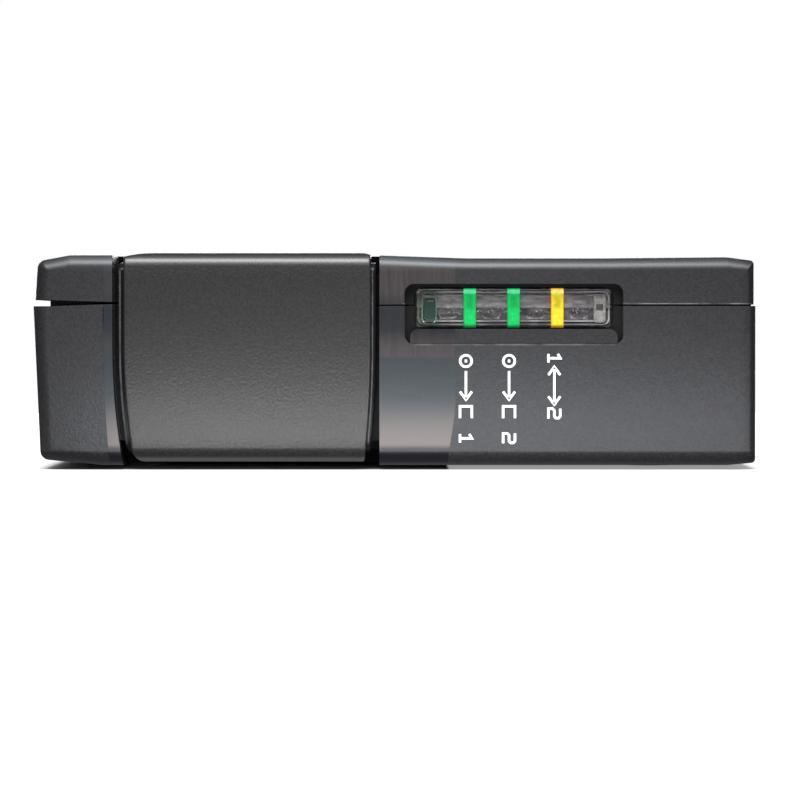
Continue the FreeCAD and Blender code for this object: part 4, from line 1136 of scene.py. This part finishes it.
class BuildWindow(bpy.types.Operator):
    """Build the lens, the moulding behind it and the three lit bars"""

    bl_idname = "switch_box.build_window"
    bl_label = "Indicator Window"

    def execute(self, context):
        settings = context.scene.switch_box
        window, finish = settings.window, settings.finish
        low, high = LENS
        flange = window.flange
        left, right = low.x + flange, high.x - flange
        base, top = low.z + flange, high.z - flange
        level = (base + top) / 2
        cover = front_solid(
            "lens_cover", rectangle((left, base), (right, top), window.rounding),
            low.y, low.y + 1.4 * MM, window.lens_round,
        )
        dress(cover, clear_finish(), "housing", "lens_clear", "indicator_lens")
        self.core(window, left, right, base, top)
        self.highlight_loops(window, left, right, base, top)
        self.ends(left, right, base, top)
        for tag, node in LIGHTS.items():
            light_low, light_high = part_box(node)
            middle = (light_low.x + light_high.x) / 2
            half = window.light_width / 2
            glow = front_solid(
                "glow_" + tag,
                rectangle(
                    (middle - half, base + 0.05 * MM), (middle + half, top - 0.05 * MM), 0.1 * MM
                ),
                low.y + 0.16 * MM, light_high.y, 0.1 * MM,
            )
            amber = tag == "auto"
            tone = finish.amber if amber else finish.green
            edge = (1.0, 0.3, 0.0) if amber else (0.0, 0.3, 0.07)
            light = (1.0, 0.95, 0.3) if amber else (0.15, 0.9, 0.45)
            material = glow_finish(
                "glow_" + tag, tuple(tone), edge, light, middle, level, (top - base) / 2
            )
            slot = "light_amber" if amber else "light_green"
            dress(glow, material, "housing", slot, node)
        return {"FINISHED"}

    def core(self, window, left, right, base, top):
        """The moulding seen through the lens: a trough with domes between the lights."""
        front, rear = LENS[0].y + 0.75 * MM, LENS[1].y
        lower, upper = front + 0.35 * MM, front + 0.25 * MM  # floors of its two troughs
        foot, head = base + 0.15 * MM, top - 0.15 * MM
        level = (base + top) / 2 + 0.1 * MM  # the ridge between the troughs
        profile = [
            (rear, foot), (front, foot), (front, base + 1.1 * MM), (lower, base + 1.5 * MM),
            (lower, level - 0.4 * MM), (front, level), (upper, level + 0.3 * MM),
            (upper, top - 1.0 * MM), (front, top - 0.7 * MM), (front, head), (rear, head),
        ]
        core = loft("lens_core", [
            [(x, y, z) for y, z in profile] for x in (left + 0.3 * MM, right - 0.3 * MM)
        ])
        middle = (left + right) / 2
        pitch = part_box(LIGHTS["b"])[0].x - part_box(LIGHTS["a"])[0].x
        domes = [
            self.dome(
                f"dome_{number}", middle + step * pitch, base + 2.2 * MM, lower,
                window.dome_radius,
            )
            for number, step in enumerate((-1.5, -0.5, 0.5, 1.5))
        ]
        join(core, *domes)
        soften(core, 0.05 * MM)
        dress(core, core_finish(level), "housing", "lens_clear")

    def highlight_loops(self, window, left, right, base, top):
        """Pale loops that follow the lens's outline, one inside the other, as painted highlights along
        its edges.
        """
        front = LENS[0].y + 0.5 * MM
        pale = lens_highlight_finish(left)
        green = moulded("painted_green_highlight", (0.09, 0.2, 0.14), 0.15)
        # A name, the left and right end, the inset and width in millimetres and the finish
        loops = (
            ("outer", left, right, 0.42, 0.24, pale),
            ("inner", left, right, 0.95, 0.18, pale),
            ("left", left + 0.5 * MM, left + 3.7 * MM, 0.55, 0.16, green),
        )
        # Painted highlights: these loops stand in for the light along the lens's edges.
        for tag, low, high, inset, width, material in loops:
            inset, width = inset * MM, width * MM
            corners = rectangle((low, base), (high, top), window.rounding)
            frames = [
                [(p.x, p.y) for p in rounded_outline(corners, inset + step)]
                for step in (0, width)
            ]
            shape = bmesh.new()
            rows = [
                [shape.verts.new((x, front + depth * MM, z)) for x, z in frames[number]]
                for number, depth in ((0, 0.3), (0, 0.06), (1, 0), (1, 0.3))
            ]
            for row, following in zip(rows, rows[1:] + rows[:1]):
                bridge(shape, row, following)
            bmesh.ops.recalc_face_normals(shape, faces=shape.faces)
            dress(as_piece("rail_" + tag, shape), material, "housing", "lens_clear")

    def dome(self, name, x, z, y, radius):
        """A low dome that faces the front."""
        rise, root, flatness = 0.3 * MM, 0.4 * MM, 0.8
        steps, sides = 7, 28
        rings = []
        for step in range(steps):
            angle = math.pi / 2 * (1 - step / steps)
            spread, reach = radius * math.sin(angle), rise * math.cos(angle)
            rings.append([
                (x + spread * math.cos(turn), y - reach, z + flatness * spread * math.sin(turn))
                for turn in (2 * math.pi * number / sides for number in range(sides))
            ])
        rings.insert(0, [(px, y + root, pz) for px, _, pz in rings[0]])
        return loft(name, rings)

    def ends(self, left, right, base, top):
        """The dark plug at the left end of the lens and the pale block at the right."""
        front = LENS[0].y + 0.35 * MM
        rear = LENS[1].y - 0.3 * MM
        dark = front_solid(
            "left_plug",
            rectangle(
                (left + 1.3 * MM, base + 1.1 * MM), (left + 3.05 * MM, top - 1.75 * MM), 0.5 * MM
            ),
            front, rear, 0.2 * MM,
        )
        material = moulded("plug_plastic", (0.012, 0.035, 0.026), 0.25)
        dress(dark, material, "housing", "lens_clear")
        pale = front_solid(
            "right_block",
            rectangle(
                (right - 2.75 * MM, base + 0.75 * MM), (right - 0.95 * MM, top - 0.75 * MM),
                0.4 * MM,
            ),
            front, rear, 0.2 * MM,
        )
        hole = block(
            "right_hole", (right - 2.35 * MM, front - SPARE, base + 2.5 * MM),
            (right - 1.35 * MM, front + 0.6 * MM, base + 3.5 * MM),
        )
        cut(pale, hole)
        soften(pale, 0.05 * MM)
        material = moulded("block_plastic", (0.2, 0.19, 0.185), 0.3, size=0.7, spread=0.45)
        dress(pale, material, "housing", "lens_clear")


class BuildMarks(bpy.types.Operator):
    """Draw the white marks beside the lights: generic signs and plain numbers"""

    bl_idname = "switch_box.build_marks"
    bl_label = "Marks"

    def execute(self, context):
        settings = context.scene.switch_box
        ink = moulded("white_ink", settings.finish.ink, 0.5, 0.3, 0.002)
        half = 0.165 * MM
        start = 16.6 * MM
        for tag, x, strokes in self.columns():
            shape = bmesh.new()
            for stroke in strokes:
                self.ribbon(shape, stroke, half, x * MM, start)
            dress(as_piece("mark_" + tag, shape), ink, "housing", "case_black")
        return {"FINISHED"}

    def columns(self):
        """Strokes of each column in millimetres: along the reading line, and up from it."""
        ring = [
            (1.0 + 0.83 * math.cos(angle), 1.0 + 0.83 * math.sin(angle))
            for angle in (2 * math.pi * step / 24 for step in range(25))
        ]
        source = [
            ring, [(0.8, 1.0), (1.2, 1.0)], [(2.45, 1.0), (6.5, 1.0)],
            [(5.4, 1.85), (6.55, 1.0), (5.4, 0.15)],
            [(9.2, 1.85), (7.5, 1.85), (7.5, 0.15), (9.2, 0.15)],
        ]
        both = [
            [(1.9, 1.0), (7.2, 1.0)], [(3.0, 1.85), (1.85, 1.0), (3.0, 0.15)],
            [(6.1, 1.85), (7.25, 1.0), (6.1, 0.15)],
        ]
        return (
            ("a", 9.26, source + one(11.5)),
            ("b", 15.45, source + two(11.4)),
            ("auto", 21.95, one(0.0) + both + two(7.85)),
        )

    def ribbon(self, shape, points, half, x, start):
        """A flat stroke of even width that follows points, a little proud of the face."""
        face = FRONT
        closed = points[0] == points[-1]
        line = [Vector(point) * MM for point in points]
        sides = []
        for number, point in enumerate(line):
            before = line[number - 1] if number else (line[-2] if closed else None)
            last = number == len(line) - 1
            after = line[number + 1] if not last else (line[1] if closed else None)
            into = (point - before).normalized() if before else (after - point).normalized()
            out = (after - point).normalized() if after else into
            bisector = (into + out).normalized()
            across = Vector((-bisector.y, bisector.x))
            reach = half / max(bisector.dot(into), 0.4)
            sides.append((point + across * reach, point - across * reach))
        rows = []
        for depth in (0.02 * MM, -0.012 * MM):
            rows.append([
                [shape.verts.new((x + p.y, face + depth, start - p.x)) for p in pair]
                for pair in sides
            ])
        back, front = rows
        for number in range(len(line) - 1):
            (a, b), (c, e) = front[number], front[number + 1]
            (f, g), (h, i) = back[number], back[number + 1]
            shape.faces.new((a, b, e, c))
            shape.faces.new((f, h, i, g))
            shape.faces.new((a, c, h, f))
            shape.faces.new((b, g, i, e))
        if not closed:
            shape.faces.new((front[0][0], back[0][0], back[0][1], front[0][1]))
            shape.faces.new((front[-1][0], front[-1][1], back[-1][1], back[-1][0]))
        bmesh.ops.recalc_face_normals(shape, faces=shape.faces)


def one(start):
    """The number one."""
    return [
        [(start, 1.5), (start + 0.6, 1.85), (start + 0.6, 0.15)],
        [(start, 0.15), (start + 1.2, 0.15)],
    ]


def two(start):
    """The number two."""
    return [[
        (start, 1.85), (start + 1.1, 1.85), (start + 1.35, 1.6), (start + 1.35, 1.25),
        (start + 1.1, 1.0), (start + 0.25, 1.0), (start, 0.75), (start, 0.15),
        (start + 1.4, 0.15),
    ]]


class DressFrame(bpy.types.Operator):
    """Give each carried node of the frame the finish of its slot"""

    bl_idname = "switch_box.dress_frame"
    bl_label = "Finishes of the Frame"

    def execute(self, context):
        finishes = {
            "panel_black": moulded("panel_plastic", (0.03, 0.03, 0.033), 0.4, 0.35, 0.01),
            "foot_rubber": moulded("foot_rubber", (0.02, 0.02, 0.02), 0.8, 0.25, 0.01),
            "screw_steel": metal("zinc_steel", (0.62, 0.63, 0.66), 0.32),
            "spring_steel": metal("spring_wire", (0.56, 0.56, 0.58), 0.28),
            "bush_white": moulded("bush_acetal", (0.8, 0.8, 0.77), 0.35),
            "switch_grey": moulded("switch_plastic", (0.1, 0.1, 0.1), 0.45),
            "plunger_white": moulded("plunger_plastic", (0.75, 0.75, 0.72), 0.35),
            "shroud_black": moulded("shroud_plastic", (0.012, 0.012, 0.012), 0.6),
            "led_white": moulded("emitter_plastic", (0.8, 0.8, 0.72), 0.3),
            "board_green": moulded("board_mask", (0.02, 0.13, 0.06), 0.3, 0.9, 0.006),
            "relay_grey": moulded("relay_plastic", (0.6, 0.6, 0.57), 0.4),
            "chip_black": moulded("chip_resin", (0.02, 0.02, 0.02), 0.5),
            "can_steel": metal("can_steel", (0.7, 0.7, 0.72), 0.25),
            "can_sleeve": moulded("can_sleeve", (0.03, 0.035, 0.09), 0.25),
            "block_black": moulded("socket_plastic", (0.02, 0.02, 0.02), 0.35),
            "plated": metal("nickel_plate", (0.78, 0.76, 0.72), 0.18, (1, 0.1, 1)),
            "insert_white": moulded("insert_white", (0.82, 0.82, 0.79), 0.3),
            "insert_red": moulded("insert_red", (0.5, 0.012, 0.012), 0.3),
            "contact_brass": metal("contact_brass", (0.78, 0.56, 0.2), 0.3),
        }
        slots = {
            part["node"]: part["material_slot"] for part in frame["record"]["subparts"]
        }
        for name, node in frame["nodes"].items():
            if node.hide_render or slots[name] not in finishes:
                continue
            node.data.materials.clear()
            node.data.materials.append(finishes[slots[name]])
        return {"FINISHED"}


class BuildStage(bpy.types.Operator):
    """Set up the floor, the light and the camera"""

    bl_idname = "switch_box.build_stage"
    bl_label = "Stage"

    def execute(self, context):
        stage = context.scene.switch_box.stage
        scene = context.scene
        scene.view_settings.view_transform = "Standard"
        self.world(scene)
        self.floor()
        front, rear = FRONT, PANEL[1].y
        for name, place, target, size, strength in (
            ("key", (0, front - 0.30, 0.42), (0, front, 0.02), (0.3, 0.22), stage.key_power),
            ("over", (0, front + 0.05, 0.42), (0, front + 0.01, 0.03), (0.3, 0.2), stage.over_power),
            ("rear", (0, rear + 0.3, 0.07), (0, rear, 0.015), (0.4, 0.1), stage.rear_power),
            ("low", (0.008, front - 0.03, 0.004), (0.008, front, 0.004), (0.11, 0.004), stage.low_power),
        ):
            self.lamp(name, Vector(place), Vector(target), size, strength)
        camera = bpy.data.objects.new("camera", bpy.data.cameras.new("camera"))
        scene.collection.objects.link(camera)
        camera.location = (stage.eye_x, front - stage.distance, stage.eye_z)
        camera.rotation_euler = (
            math.pi / 2 - math.atan2(stage.eye_z - stage.aim_z, stage.distance), 0, 0
        )
        sensor = 36  # the camera's sensor width, in its own millimetres
        camera.data.sensor_width = sensor
        camera.data.lens = sensor * stage.distance / stage.view_width
        camera.data.clip_start = 0.01
        scene.camera = camera
        return {"FINISHED"}

    def world(self, scene):
        world = bpy.data.worlds.new("studio")
        world.use_nodes = True
        tree = world.node_tree
        back = tree.nodes["Background"]
        path = tree.nodes.new("ShaderNodeLightPath")
        seen = tree.nodes.new("ShaderNodeMath")
        seen.operation = "MAXIMUM"
        tree.links.new(path.outputs["Is Camera Ray"], seen.inputs[0])
        tree.links.new(path.outputs["Is Transmission Ray"], seen.inputs[1])
        level = tree.nodes.new("ShaderNodeMapRange")
        lit, shown = 0.12, 1.0  # strength as light on the box, and as the camera sees it
        level.inputs[3].default_value = lit
        level.inputs[4].default_value = shown
        tree.links.new(seen.outputs[0], level.inputs[0])
        tree.links.new(level.outputs[0], back.inputs["Strength"])
        back.inputs["Color"].default_value = (1, 1, 1, 1)
        scene.world = world

    def floor(self):
        shape = bmesh.new()
        bmesh.ops.create_grid(shape, x_segments=1, y_segments=1, size=6)
        floor = as_piece("floor", shape)
        shader = Shader("floor_paper", 0.9)
        shader.set("Base Color", (0.12, 0.12, 0.12))
        path = shader.add("ShaderNodeLightPath")
        # Painted shadow: the camera sees the floor's white darkened by ambient occlusion under and near
        # the box.
        near = shader.add("ShaderNodeAmbientOcclusion", {"Distance": 6 * MM})
        open_share = shader.ramp(near.outputs["AO"], 0.25, 0.75)
        # Painted light: under the right half of the box the floor shows at least 0.3 of white.
        lit = shader.times(
            shader.ramp(shader.axis("X"), 7.5 * MM, 8.1 * MM, 0.0, 0.3),
            shader.ramp(shader.axis("Y"), FRONT + 22 * MM, FRONT + 28 * MM, 1.0, 0.0),
        )
        open_share = shader.larger(open_share, lit)
        seen = shader.times(path.outputs["Is Camera Ray"], open_share)
        # Painted reflection: glossy rays see a bright band of floor along the case front.
        close = shader.band(shader.axis("Y"), FRONT - 2 * MM, FRONT + 2.5 * MM, 1.5 * MM)
        shone = shader.times(path.outputs["Is Glossy Ray"], close)
        seen = shader.larger(seen, shone)
        shader.set("Emission Color", (1, 1, 1))
        shader.set("Emission Strength", seen)
        floor.data.materials.append(shader.material)

    def lamp(self, name, place, target, size, strength):
        data = bpy.data.lights.new(name, "AREA")
        data.shape = "RECTANGLE"
        data.size, data.size_y = size
        data.energy = strength
        lamp = bpy.data.objects.new(name, data)
        bpy.context.scene.collection.objects.link(lamp)
        lamp.location = place
        lamp.rotation_euler = (target - place).to_track_quat("-Z", "Y").to_euler()
        lamp.visible_camera = False


BUILDERS = (BuildCase, BuildBar, BuildWindow, BuildMarks, DressFrame, BuildStage)


class SwitchBoxPanel(bpy.types.Panel):
    """Lists the steps that build the switch box"""

    bl_idname = "VIEW3D_PT_switch_box"
    bl_label = "Switch Box"
    bl_space_type = "VIEW_3D"
    bl_region_type = "UI"
    bl_category = "Switch Box"

    def draw(self, context):
        for builder in BUILDERS:
            self.layout.operator(builder.bl_idname)


CLASSES = (
    CaseSizes, BarSizes, WindowSizes, Finishes, StageSizes, SwitchBox, *BUILDERS,
    SwitchBoxPanel,
)


def register():
    for item in CLASSES:
        bpy.utils.register_class(item)
    bpy.types.Scene.switch_box = PointerProperty(type=SwitchBox)


def unregister():
    del bpy.types.Scene.switch_box
    for item in reversed(CLASSES):
        bpy.utils.unregister_class(item)


def main():
    register()
    bpy.ops.switch_box.build_case()
    bpy.ops.switch_box.build_bar()
    bpy.ops.switch_box.build_window()
    bpy.ops.switch_box.build_marks()
    bpy.ops.switch_box.dress_frame()
    bpy.ops.switch_box.build_stage()


if __name__ == "__main__":
    main()
